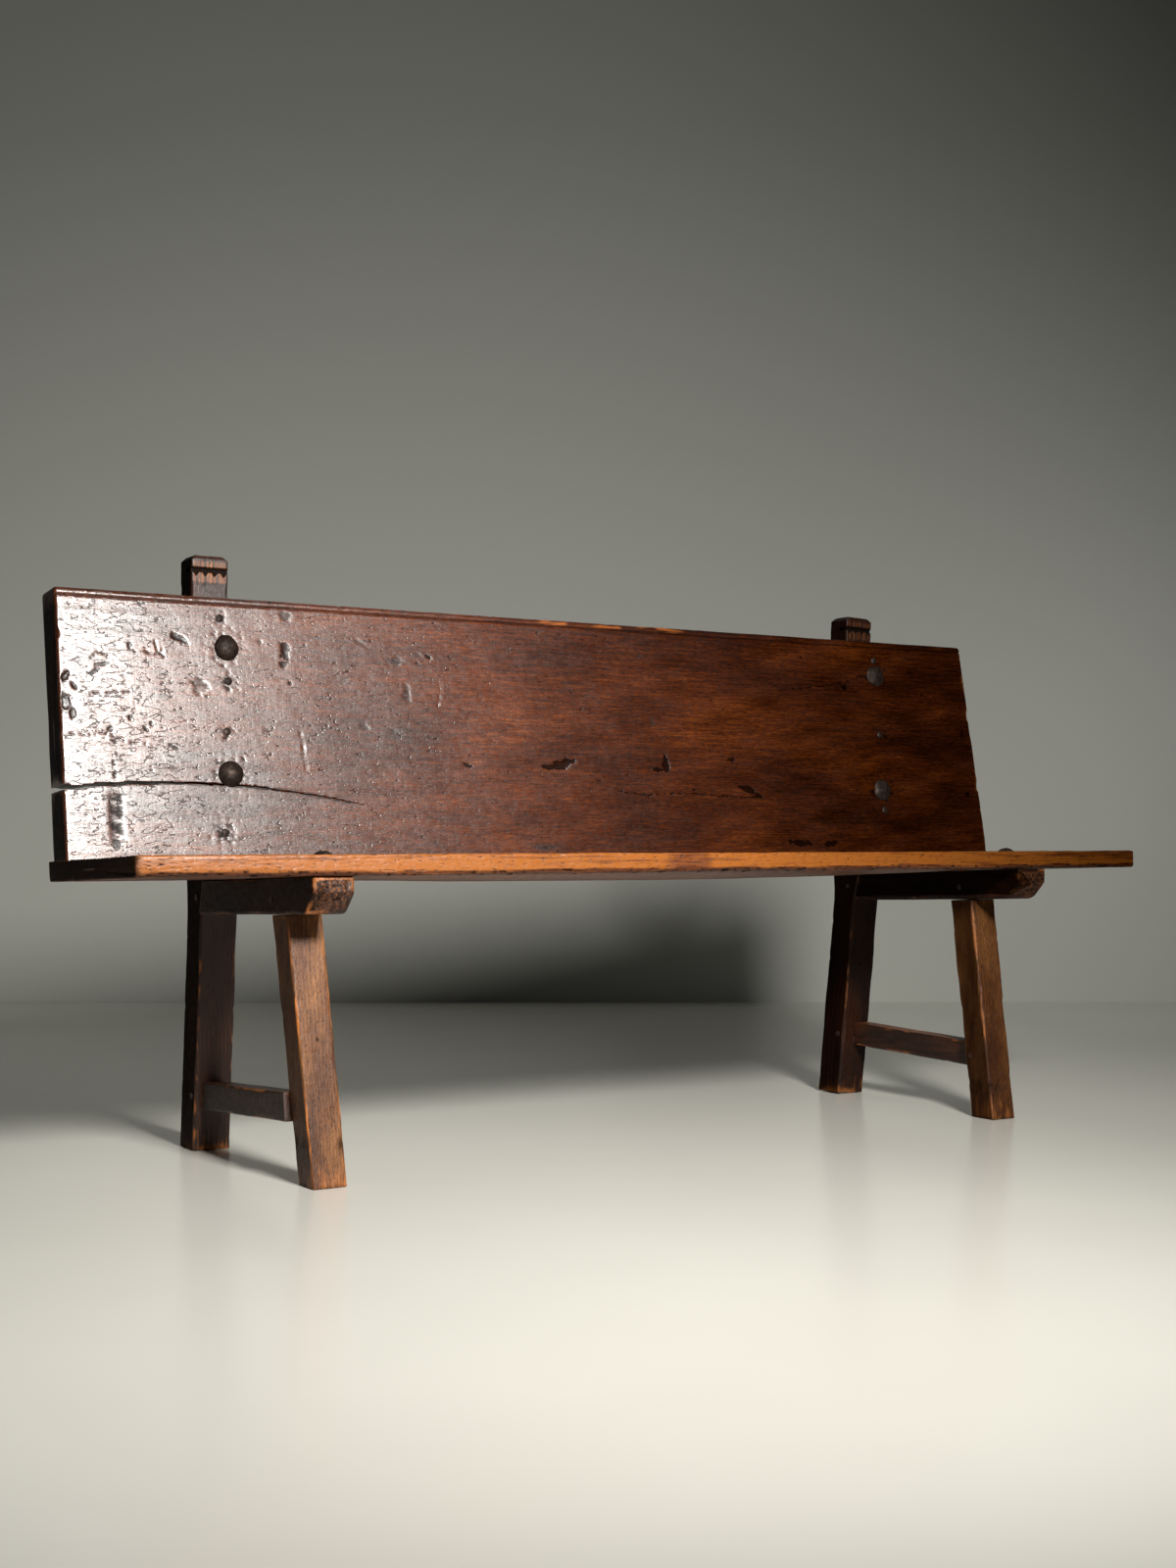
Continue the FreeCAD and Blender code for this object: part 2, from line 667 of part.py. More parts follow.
def back_plank():
    """The back plank, drawn flat: one short corner, a skewed end, a bead under a rounded top."""
    body = doc.addObject("PartDesign::Body", "back_plank")
    left = "(-Sizes.back_long / 2)"
    right = "(Sizes.back_long / 2)"
    profile = outline(body, "back_front", "XY_Plane", [
        (left, "0"),
        (right, "0"),
        (f"{right} - Sizes.back_short_corner", "Sizes.back_high"),
        (left, "Sizes.back_high"),
    ])
    slab = pad(body, "back_slab", profile, "Sizes.back_thick", side="One side")
    rounded = dress(
        body, "Fillet", "back_upper_corners", slab,
        lambda edge: is_straight_along(edge, Vector(0, 0, 1), 10.0)
        and edge.CenterOfMass.y > value("Sizes.back_high / 2"),
        "Sizes.back_corner_round",
    )
    crown = value("Sizes.back_high")
    dress(
        body, "Fillet", "back_top_arrises", rounded,
        lambda edge: is_straight_along(edge, Vector(1, 0, 0), value("Sizes.long_edge"))
        and abs(edge.CenterOfMass.y - crown) < 0.01,
        "Sizes.back_top_round",
    )
    bead = outline(body, "bead_side", "YZ_Plane", [
        ("Sizes.back_high - Sizes.bead_below_top - Sizes.bead_wide / 2", "Sizes.back_thick + 0.1"),
        ("Sizes.back_high - Sizes.bead_below_top + Sizes.bead_wide / 2", "Sizes.back_thick + 0.1"),
        ("Sizes.back_high - Sizes.bead_below_top", "Sizes.back_thick - Sizes.bead_deep"),
    ])
    pocket(body, "bead", bead, "Sizes.back_long + 20")
    skew = "Sizes.back_thick * tan(Sizes.back_end_skew * 1 deg)"
    end = outline(body, "skew_end", "XZ_Plane", [
        (f"{left} - 1", "-1"),
        (f"{left} + {skew}", "Sizes.back_thick + 1"),
        (f"{left} - 1", "Sizes.back_thick + 1"),
    ])
    pocket(body, "skewed_end", end, "3 * Sizes.back_high")
    stand_on_back(body, "Sizes.back_shift")
    return body


def split_waste():
    """A thin crescent through the back plank, open at its left end and dying out along the grain."""
    start = value("-Sizes.back_long / 2")
    tip = Vector(start + value("Sizes.split_long"), value("Sizes.split_end_up"), 0)
    outside = -10.0
    crest_open = "Sizes.split_open * (1 - Sizes.split_crest_along / Sizes.split_long) ^ 1.5"
    arcs = []
    for sign in (1, -1):
        mouth_up = value("Sizes.split_start_up") + sign * value("Sizes.split_open") / 2
        crest_up = value("Sizes.split_crest_up") + sign * value(crest_open) / 2
        mouth = Vector(start + outside, mouth_up, 0)
        crest = Vector(start + value("Sizes.split_crest_along"), crest_up, 0)
        arcs.append(Part.Arc(mouth, crest, tip).toShape())
    mouths = [edge.Vertexes[0].Point for edge in arcs]
    arcs.append(Part.makeLine(mouths[1], mouths[0]))
    face = Part.Face(Part.Wire(Part.__sortEdges__(arcs)))
    face.translate(Vector(0, 0, -5))
    waste = doc.addObject("Part::Feature", "split_waste")
    waste.Shape = face.extrude(Vector(0, 0, value("Sizes.back_thick") + 10))
    stand_on_back(waste, "Sizes.back_shift")
    return waste


def nail(name, head_wide, head_high, shank_wide, shank):
    """A forged nail turned about its own axis: a domed head over a tapering shank."""
    body = doc.addObject("PartDesign::Body", name)
    sketch = new_sketch(body, f"{name}_half", "XZ_Plane")
    rim = Vector(value(head_wide) / 2, 0, 0)
    crown = Vector(0, value(head_high), 0)
    radius_text = f"(({head_wide}) ^ 2 / 4 + ({head_high}) ^ 2) / (2 * ({head_high}))"
    radius = value(radius_text)
    swing = math.asin(min(1.0, rim.x / radius)) / 2
    middle = Vector(radius * math.sin(swing), radius * math.cos(swing) - radius + crown.y, 0)
    sketch.addGeometry(Part.Arc(rim, middle, crown), False)
    corners = [
        ("0", head_high),
        ("0", f"-{shank}"),
        (f"{shank_wide} / 6", f"-{shank}"),
        (f"{shank_wide} / 2", f"-{shank} * 0.8"),
        (f"{shank_wide} / 2", "0"),
        (f"{head_wide} / 2", "0"),
    ]
    points = [Vector(value(across), value(up), 0) for across, up in corners]
    for index in range(len(points) - 1):
        sketch.addGeometry(Part.LineSegment(points[index], points[index + 1]), False)
    for index, (across, up) in enumerate(corners[:-1], start=1):
        pin_point(sketch, index, 1, across, up)
    for index in range(1, len(corners) - 1):
        sketch.addConstraint(Sketcher.Constraint("Coincident", index, 2, index + 1, 1))
    pin_point(sketch, len(corners) - 1, 2, *corners[-1])
    sketch.addConstraint(Sketcher.Constraint("Coincident", 0, 2, 1, 1))
    sketch.addConstraint(Sketcher.Constraint("Coincident", 0, 1, len(corners) - 1, 2))
    turned = body.newObject("PartDesign::Revolution", f"{name}_turned")
    turned.Profile = sketch
    turned.ReferenceAxis = (sketch, ["V_Axis"])
    turned.Angle = 360
    doc.recompute()
    return body


def shank_hole(name, shank_wide, shank, above):
    """The round hole for a nail's shank, from above the head's seat to just past the point."""
    hole = doc.addObject("Part::Cylinder", name)
    hole.setExpression("Radius", f"{shank_wide} / 2 + Sizes.joint_gap")
    hole.setExpression("Height", f"{shank} + 1 + {above}")
    return hole


def along_x(name, label, diameter, length, centre, spare="0"):
    """A straight peg, or its hole, lying along X with its middle at centre."""
    rod = doc.addObject("Part::Cylinder", name)
    rod.Label = label
    rod.setExpression("Radius", f"({diameter}) / 2 + {spare}")
    rod.setExpression("Height", f"{length}")
    across, along, high = centre
    rod.Placement = Placement(Vector(0, 0, 0), Rotation(Vector(0, 1, 0), 90))
    rod.setExpression(".Placement.Base.x", f"{across} - ({length}) / 2")
    rod.setExpression(".Placement.Base.y", f"{along}")
    rod.setExpression(".Placement.Base.z", f"{high}")
    doc.recompute()
    return rod


def back_nail(name, kind, side, across, up):
    """One nail through the back plank into a stile, and the hole that it needs."""
    shank_wide = {"dome": "Sizes.shank_wide", "stud": "Sizes.stud_shank_wide"}[kind]
    head_high = f"Sizes.{kind}_high"
    shank = f"Sizes.{kind}_shank"
    station = f"{frame_station(side)} + {across}"
    item = nail(name, f"Sizes.{kind}_wide", head_high, shank_wide, shank)
    stand_on_back(item, station, up, "Sizes.back_thick + 0.05")
    hole = shank_hole(f"{name}_hole", shank_wide, shank, "3")
    stand_on_back(hole, station, up, f"Sizes.back_thick - {shank} - 1")
    return item, hole


def seat_nail(name, side, from_front):
    """One domed nail through the seat into a rail, square to the seat, and its hole."""
    item = nail(
        name, "Sizes.seat_dome_wide", "Sizes.seat_dome_high", "Sizes.shank_wide", "Sizes.seat_shank",
    )
    hole = shank_hole(f"{name}_hole", "Sizes.shank_wide", "Sizes.seat_shank", "3")
    rake = "Sizes.seat_rake * 1 deg"
    run = f"((Sizes.rail_long + Sizes.seat_overhang) / cos({rake}) - {from_front})"
    for piece, out in (
        (item, "Sizes.seat_thick + 0.05"),
        (hole, "Sizes.seat_thick - Sizes.seat_shank - 1"),
    ):
        piece.Placement = Placement(Vector(0, 0, 0), Rotation(Vector(1, 0, 0), -1.0))
        piece.setExpression(".Placement.Rotation.Angle", "-Sizes.seat_rake")
        piece.setExpression(
            ".Placement.Base.x", f"{frame_station(side)} + Sizes.seat_nail_shift_{side}"
        )
        piece.setExpression(
            ".Placement.Base.y",
            f"Sizes.stile_face - {run} * cos({rake}) + ({out}) * sin({rake})",
        )
        piece.setExpression(
            ".Placement.Base.z",
            f"Sizes.rail_top + Sizes.joint_gap + {run} * sin({rake}) + ({out}) * cos({rake})",
        )
    doc.recompute()
    return item, hole


def peg_and_hole(name, length, centre):
    peg = along_x(name, name, "Sizes.peg_wide", length, centre)
    hole = along_x(f"{name}_hole", f"{name}_hole", "Sizes.peg_wide", f"{length} + 4", centre,
                   "Sizes.joint_gap / 2")
    return peg, hole


def leg_middle(side, height):
    """Station along X of the middle of a front leg at a height."""
    lean = f"Sizes.leg_lean_{side} * (1 - ({height}) / {LEG_TOP})"
    return f"({frame_station(side)} + Sizes.leg_shift_{side} + {lean})"


def group(name, members):
    joined = doc.addObject("Part::Compound", name)
    joined.Links = members
    doc.recompute()
    return joined


pieces = []
seat_holes = []
back_holes = [split_waste()]
for side in ("left", "right"):
    station = frame_station(side)

    # the nails through the back plank into this stile
    nail_holes = []
    for level in ("upper", "lower"):
        spot = f"Sizes.dome_{side}_{level}"
        item, hole = back_nail(
            f"dome_nail_{side}_{level}", "dome", side, f"{spot}_across", f"{spot}_up"
        )
        pieces.append(item)
        nail_holes.append(hole)
    studs = []
    for number in range(1, len(STUDS[side]) + 1):
        spot = f"Sizes.stud_{side}_{number}"
        item, hole = back_nail(
            f"small_nail_{side}_{number}", "stud", side, f"{spot}_across", f"{spot}_up"
        )
        studs.append(item)
        nail_holes.append(hole)
    pieces.append(group(f"small_nails_{side}", studs))
    back_holes.extend(nail_holes)

    # the nails through the seat into this rail
    seat_nails = []
    rail_holes = []
    for end in ("front", "rear"):
        item, hole = seat_nail(f"seat_nail_{side}_{end}", side, f"Sizes.seat_nail_{end}")
        seat_nails.append(item)
        rail_holes.append(hole)
    pieces.append(group(f"seat_nails_{side}", seat_nails))
    seat_holes.extend(rail_holes)

    # the pegs that lock the tenons
    tenon_middle = "(Sizes.stile_face + Sizes.tenon_long / 2)"
    rail_peg, rail_peg_hole = peg_and_hole(
        f"rail_peg_{side}", "Sizes.stile_wide + 2",
        (stile_station(side), tenon_middle, "Sizes.rail_top - Sizes.rail_high / 2"),
    )
    leg_peg_y = f"({LEG_STATION} + Sizes.leg_deep / 2)"
    leg_peg, leg_peg_hole = peg_and_hole(
        f"leg_peg_{side}", "Sizes.rail_wide + 2",
        (station, leg_peg_y, f"{rail_underside(leg_peg_y)} + Sizes.leg_tenon * 0.6"),
    )
    rear, front, top = stretcher_line(side)
    rear_peg_y = f"({rear} + Sizes.stretcher_tenon / 2)"
    front_peg_y = f"({front} - Sizes.stretcher_tenon / 2)"
    rear_peg_z = f"({top(rear_peg_y)} - Sizes.stretcher_high / 2)"
    front_peg_z = f"({top(front_peg_y)} - Sizes.stretcher_high / 2)"
    wind = f"tan(Sizes.wind_angle_{side} * 1 deg)"
    rear_peg_x = f"{stile_station(side)} - (Sizes.rail_top - {rear_peg_z}) * {wind}"
    rear_peg, rear_peg_hole = peg_and_hole(
        f"stretcher_peg_{side}_rear", "Sizes.stile_wide + 2", (rear_peg_x, rear_peg_y, rear_peg_z),
    )
    front_peg, front_peg_hole = peg_and_hole(
        f"stretcher_peg_{side}_front", "Sizes.foot_wide + 2",
        (leg_middle(side, front_peg_z), front_peg_y, front_peg_z),
    )
    pieces.append(rail_peg)
    pieces.append(leg_peg)
    pieces.append(group(f"stretcher_pegs_{side}", [rear_peg, front_peg]))

    # the four timbers of this end frame
    rail_mortise = mortise(
        f"rail_mortise_{side}",
        lambda body: rail_tenon_outline(body, f"rail_mortise_{side}_side", "Sizes.joint_gap"),
        station,
    )
    stretcher_mortise = mortise(
        f"stretcher_mortise_{side}",
        lambda body: stretcher_tenon_outline(
            body, f"stretcher_mortise_{side}_side", side, "Sizes.joint_gap"
        ),
        f"{station} + Sizes.stretcher_shift_{side}",
    )
    ground = doc.addObject("Part::Box", f"ground_{side}")
    ground.setExpression("Length", "Sizes.frame_spacing")
    ground.setExpression("Width", "2 * Sizes.stile_face")
    ground.setExpression("Height", "4 * Sizes.foot_trim")
    ground.setExpression(".Placement.Base.x", f"{station} - Sizes.frame_spacing / 2")
    ground.setExpression(".Placement.Base.z", "-4 * Sizes.foot_trim")
    pieces.append(cut(
        f"rear_stile_{side}", rear_stile(side),
        [rail_mortise, stretcher_mortise, rail_peg_hole, rear_peg_hole, ground, *nail_holes],
    ))
    pieces.append(cut(
        f"seat_rail_{side}", seat_rail(side), [rail_peg_hole, leg_peg_hole, *rail_holes],
    ))
    pieces.append(cut(
        f"front_leg_{side}", front_leg(side), [stretcher_mortise, leg_peg_hole, front_peg_hole],
    ))
    pieces.append(cut(
        f"stretcher_{side}", stretcher(side), [rear_peg_hole, front_peg_hole],
    ))

pieces.append(cut("seat_board", seat_slab(), seat_holes))
pieces.append(cut("back_board", back_plank(), back_holes))

doc.recompute()
for item in doc.Objects:
    if "Invalid" in item.State or "Error" in item.State:
        raise RuntimeError(f"{item.Name} is {item.State}")
for item in pieces:
    if item.Shape.isNull() or not item.Shape.isValid() or not item.Shape.Solids:
        raise RuntimeError(f"{item.Name} has no sound shape")

os.makedirs("parts", exist_ok=True)
for item in pieces:
    item.Label = item.Name
    item.Shape.exportStep(f"parts/{item.Label}.step")
    box = item.Shape.BoundBox
    print(item.Label, len(item.Shape.Solids), [round(n, 1) for n in (
        box.XMin, box.XMax, box.YMin, box.YMax, box.ZMin, box.ZMax)], round(item.Shape.Volume))
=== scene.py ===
import math

import bpy
import numpy as np
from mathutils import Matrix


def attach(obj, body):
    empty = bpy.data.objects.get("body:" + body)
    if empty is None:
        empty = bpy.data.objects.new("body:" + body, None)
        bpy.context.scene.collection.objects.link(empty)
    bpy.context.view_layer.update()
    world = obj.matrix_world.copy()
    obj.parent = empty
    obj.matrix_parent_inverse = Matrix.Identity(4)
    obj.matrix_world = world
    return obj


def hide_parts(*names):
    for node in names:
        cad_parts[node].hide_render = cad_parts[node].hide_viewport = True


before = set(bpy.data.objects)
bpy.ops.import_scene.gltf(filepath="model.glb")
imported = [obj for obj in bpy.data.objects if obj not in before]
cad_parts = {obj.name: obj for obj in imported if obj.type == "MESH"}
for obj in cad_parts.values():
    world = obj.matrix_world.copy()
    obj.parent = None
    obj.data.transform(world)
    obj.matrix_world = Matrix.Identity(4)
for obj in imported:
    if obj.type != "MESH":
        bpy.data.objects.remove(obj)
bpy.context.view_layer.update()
print("frame loaded with", len(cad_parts), "nodes")

# the bench: +X along it, the front faces -Y, +Z up, origin on the floor under its middle


def linear(hexColour):
    # sRGB to linear: c / 12.92 below 0.04045, else ((c + 0.055) / 1.055) ^ 2.4
    parts = [int(hexColour[i:i + 2], 16) / 255 for i in (1, 3, 5)]
    return [c / 12.92 if c <= 0.04045 else ((c + 0.055) / 1.055) ** 2.4 for c in parts] + [1.0]


def addNode(tree, kind, settings=None, links=None):
    # one shader node: settings name its properties or, by socket name or number, its input values;
    # links name the sockets that other nodes' outputs feed
    node = tree.nodes.new("ShaderNode" + kind)
    for key, value in (settings or {}).items():
        if isinstance(key, str) and hasattr(node, key):
            setattr(node, key, value)
        else:
            node.inputs[key].default_value = value
    for key, output in (links or {}).items():
        tree.links.new(output, node.inputs[key])
    return node


def rampStops(node, stops):
    # stops is a list of (position, colour) pairs, colours in linear light
    ramp = node.color_ramp
    while len(ramp.elements) < len(stops):
        ramp.elements.new(1.0)
    for element, (place, colour) in zip(ramp.elements, stops):
        element.position = place
        element.color = colour
    return node


def newMaterial(name):
    # an empty node material, and its node tree
    material = bpy.data.materials.new(name)
    material.use_nodes = True
    material.node_tree.nodes.clear()
    return material, material.node_tree


# camera and light, worked out from the photograph's straight edges and shadows

camera = {
    "place": (-1.7115, -2.6723, 0.485),
    "turn": (89.954, 0.0, -31.643),
    "lens": 44.546,
    "shiftUp": 0.0352,
}

lensData = bpy.data.cameras.new("camera")
lensData.lens = camera["lens"]
lensData.sensor_width = 36.0
lensData.shift_y = camera["shiftUp"]
lensData.clip_end = 60.0
eye = bpy.data.objects.new("camera", lensData)
eye.location = camera["place"]
eye.rotation_euler = [math.radians(a) for a in camera["turn"]]
bpy.context.scene.collection.objects.link(eye)
bpy.context.scene.camera = eye

lamps = {
    "key": {
        "place": (-0.55, -2.60, 1.66), "aim": (-0.45, 0.1, 0.75), "size": 0.55, "spread": 106, "watts": 66,
        "colour": "#fffdf8",
    },
    "frontFill": {
        "place": (-3.2, -3.4, 2.6), "aim": (0.0, 0.0, 0.4), "size": 2.4, "spread": 150, "watts": 1.2,
        "colour": "#f4f7ff",
    },
    "rearFill": {
        "place": (0.7, 1.4, 2.4), "aim": (0.0, 0.1, 0.4), "size": 1.4, "spread": 130, "watts": 2.2,
        "colour": "#ffffff",
    },
    "wallWash": {
        "place": (2.0, 0.2, 1.0), "aim": (2.75, 1.4, 0.75), "size": 0.8, "spread": 120, "watts": 1.2,
        "colour": "#ffffff",
    },
}


def softBox(name, spec):
    # a round lamp at its place, its -Z axis pointing at the aim
    data = bpy.data.lights.new(name, "AREA")
    data.shape = "DISK"
    data.size = spec["size"]
    data.spread = math.radians(spec["spread"])
    data.energy = spec["watts"]
    data.color = linear(spec["colour"])[:3]
    lamp = bpy.data.objects.new(name, data)
    start = np.array(spec["place"])
    run = np.array(spec["aim"]) - start
    flat = math.hypot(run[0], run[1])
    lamp.location = spec["place"]
    lamp.rotation_euler = (math.atan2(flat, -run[2]), 0.0, math.atan2(-run[0], run[1]))
    lamp.visible_camera = False
    bpy.context.scene.collection.objects.link(lamp)


for lampName, spec in lamps.items():
    softBox(lampName, spec)

world = bpy.data.worlds.new("studioAir")
world.use_nodes = True
worldTree = world.node_tree
worldTree.nodes.clear()
air = addNode(worldTree, "Background", {"Color": linear("#8a8a86"), "Strength": 0.03})
addNode(worldTree, "OutputWorld", links={"Surface": air.outputs[0]})
bpy.context.scene.world = world
print("camera and lamps set")

# floor and wall

stageSpec = {
    "wallAway": 2.55,
    "wallWide": 14.0,
    "wallHigh": 7.0,
    "floorReach": 14.0,
    "floorColour": "#dcdad2",
    "wallColour": "#b4b5ae",
}


def flatSheet(name, corners):
    # one four-sided face through its corners, in order
    mesh = bpy.data.meshes.new(name)
    mesh.from_pydata(corners, [], [(0, 1, 2, 3)])
    sheet = bpy.data.objects.new(name, mesh)
    bpy.context.scene.collection.objects.link(sheet)
    return sheet


def buildStage(spec):
    # floor: a square at height 0; wall: upright, square to the camera's line, wallAway behind the bench
    reach = spec["floorReach"]
    floor = flatSheet("floor", [(-reach, -reach, 0), (reach, -reach, 0), (reach, reach, 0), (-reach, reach, 0)])
    yaw = -math.radians(camera["turn"][2])
    ahead = np.array([math.sin(yaw), math.cos(yaw), 0.0])
    aside = np.array([math.cos(yaw), -math.sin(yaw), 0.0])
    foot = ahead * spec["wallAway"]
    half = aside * spec["wallWide"] / 2
    up = np.array([0.0, 0.0, spec["wallHigh"]])
    corners = [foot - half, foot + half, foot + half + up, foot - half + up]
    wall = flatSheet("wall", [tuple(corner) for corner in corners])

    # concrete under rolled epoxy paint, which levels as it cures: pale, with a soft mirror at low angles
    paint, tree = newMaterial("floorEpoxyPaint")
    spot = addNode(tree, "TexCoord")
    cloud = addNode(tree, "TexNoise", {"Scale": 1.4, "Detail": 3.0}, {"Vector": spot.outputs["Object"]})
    shade = rampStops(
        addNode(tree, "ValToRGB", links={"Fac": cloud.outputs["Fac"]}),
        [(0.3, linear("#d6d4cc")), (0.7, linear(spec["floorColour"]))],
    )
    skin = addNode(
        tree, "BsdfPrincipled", {"Roughness": 0.22, "IOR": 1.5, "Specular IOR Level": 0.5},
        {"Base Color": shade.outputs["Color"]},
    )
    addNode(tree, "OutputMaterial", links={"Surface": skin.outputs[0]})
    floor.data.materials.append(paint)

    # matt grey wall paint, rolled on: no gloss; the grey darkens towards the top, a painted shade for the lamp's light
    # falling off up the wall; its back lets camera and light through
    matt, tree = newMaterial("wallMattPaint")
    spot = addNode(tree, "TexCoord")
    height = addNode(tree, "SeparateXYZ", links={"Vector": spot.outputs["Object"]})
    fade = addNode(tree, "MapRange", {"From Min": 0.5, "From Max": 2.6}, {"Value": height.outputs["Z"]})
    shade = rampStops(
        addNode(tree, "ValToRGB", links={"Fac": fade.outputs[0]}),
        [(0.0, linear(spec["wallColour"])), (1.0, linear("#8f908b"))],
    )
    skin = addNode(tree, "BsdfPrincipled", {"Roughness": 0.8}, {"Base Color": shade.outputs["Color"]})
    clear = addNode(tree, "BsdfTransparent")
    side = addNode(tree, "NewGeometry")
    both = addNode(tree, "MixShader", links={0: side.outputs["Backfacing"], 1: skin.outputs[0], 2: clear.outputs[0]})
    addNode(tree, "OutputMaterial", links={"Surface": both.outputs[0]})
    wall.data.materials.append(matt)


buildStage(stageSpec)
print("floor and wall built")


# timber as a surface: rings carried from one end to the other


def ripples(points, size, seed, waves=9):
    # a smooth random field over points (N, 3): the sum of sines in random directions, each about
    # size long (one length, or three for x, y and z), scaled to a spread of 1
    rng = np.random.default_rng(seed)
    aim = rng.normal(size=(waves, 3))
    aim /= np.linalg.norm(aim, axis=1, keepdims=True)
    aim /= np.asarray(size, float) * rng.uniform(0.6, 1.7, (waves, 1))
    shift = rng.uniform(0, 2 * np.pi, waves)
    return np.sin(points @ aim.T * 2 * np.pi + shift).sum(axis=1) * math.sqrt(2 / waves)


def ringPoints(halfU, halfV, radii, sides, arcSteps=5):
    # rounded rectangles: each corner is an arc of its own radius, each side a row of fractions between
    # two arcs; halfU and halfV are (S,), radii (S, 4); also gives the way round to the nearest arris,
    # which is the middle of an arc
    signs = ((1, 1), (-1, 1), (-1, -1), (1, -1))
    across, up, gap, facing = [], [], [], []
    turns = np.linspace(0, np.pi / 2, arcSteps)
    for k, (su, sv) in enumerate(signs):
        r = radii[:, k:k + 1]
        angle = turns + k * np.pi / 2
        across.append(su * (halfU[:, None] - r) + r * np.cos(angle))
        up.append(sv * (halfV[:, None] - r) + r * np.sin(angle))
        gap.append(r * np.abs(turns - np.pi / 4))
        facing.append(np.full(arcSteps, -1))
        n = (k + 1) % 4
        nu, nv = signs[n]
        rn = radii[:, n:n + 1]
        turn = (k + 1) * np.pi / 2
        startU, startV = across[-1][:, -1:], up[-1][:, -1:]
        endU = nu * (halfU[:, None] - rn) + rn * math.cos(turn)
        endV = nv * (halfV[:, None] - rn) + rn * math.sin(turn)
        share = np.asarray(sides[k])[None, :]
        across.append(startU + (endU - startU) * share)
        up.append(startV + (endV - startV) * share)
        length = np.hypot(endU - startU, endV - startV)
        gap.append(np.minimum(length * share + r * np.pi / 4, length * (1 - share) + rn * np.pi / 4))
        facing.append(np.full(share.shape[1], k))
    return np.hstack(across), np.hstack(up), np.hstack(gap), np.concatenate(facing)


def even(count):
    # count fractions evenly between 0 and 1, ends left out
    return (np.arange(count) + 1) / (count + 1)


def crispRow(count, wide):
    # fractions across a side this wide: an even row with close steps beside both corners
    near = np.array([0.0010, 0.0022, 0.0038]) / wide
    middle = near[-1] + (1 - 2 * near[-1]) * even(count)
    return np.concatenate([near, middle, 1 - near[::-1]])


def signedVolume(place, quads):
    # the sum over faces of (b - a) x (c - a) . a, positive when the faces look outward
    v = place[quads]
    return np.einsum("ij,ij->i", np.cross(v[:, 1] - v[:, 0], v[:, 2] - v[:, 0]), v[:, 0]).sum()


def outward(place, quads):
    # the faces as they are when their signed volume is positive, else each turned round
    return quads if signedVolume(place, quads) > 0 else quads[:, ::-1]


def meshFromRings(name, points, firstPole, lastPole, values):
    # a closed skin: quads between rings (S, R, 3), a fan to a pole at each end; values are point attributes
    rings, around = points.shape[:2]
    place = np.vstack([points.reshape(-1, 3), firstPole, lastPole])
    j = np.arange(around)
    k = (j + 1) % around
    i = np.arange(rings - 1)[:, None] * around
    quads = np.stack([i + j, i + k, i + around + k, i + around + j], axis=-1).reshape(-1, 4)
    last = (rings - 1) * around
    fanA = np.stack([k, j, np.full(around, rings * around)], axis=-1)
    fanB = np.stack([last + j, last + k, np.full(around, rings * around + 1)], axis=-1)
    if signedVolume(place, quads) < 0:
        quads, fanA, fanB = quads[:, ::-1], fanA[:, ::-1], fanB[:, ::-1]
    mesh = bpy.data.meshes.new(name)
    mesh.from_pydata(place.tolist(), [], quads.tolist() + fanA.tolist() + fanB.tolist())
    mesh.polygons.foreach_set("use_smooth", np.ones(len(mesh.polygons), bool))
    for key, value in values.items():
        flat = np.concatenate([np.asarray(value, float).reshape(-1), [0.0, 0.0]])
        mesh.attributes.new(key, "FLOAT", "POINT").data.foreach_set("value", flat.astype(np.float32))
    mesh.update()
    return mesh


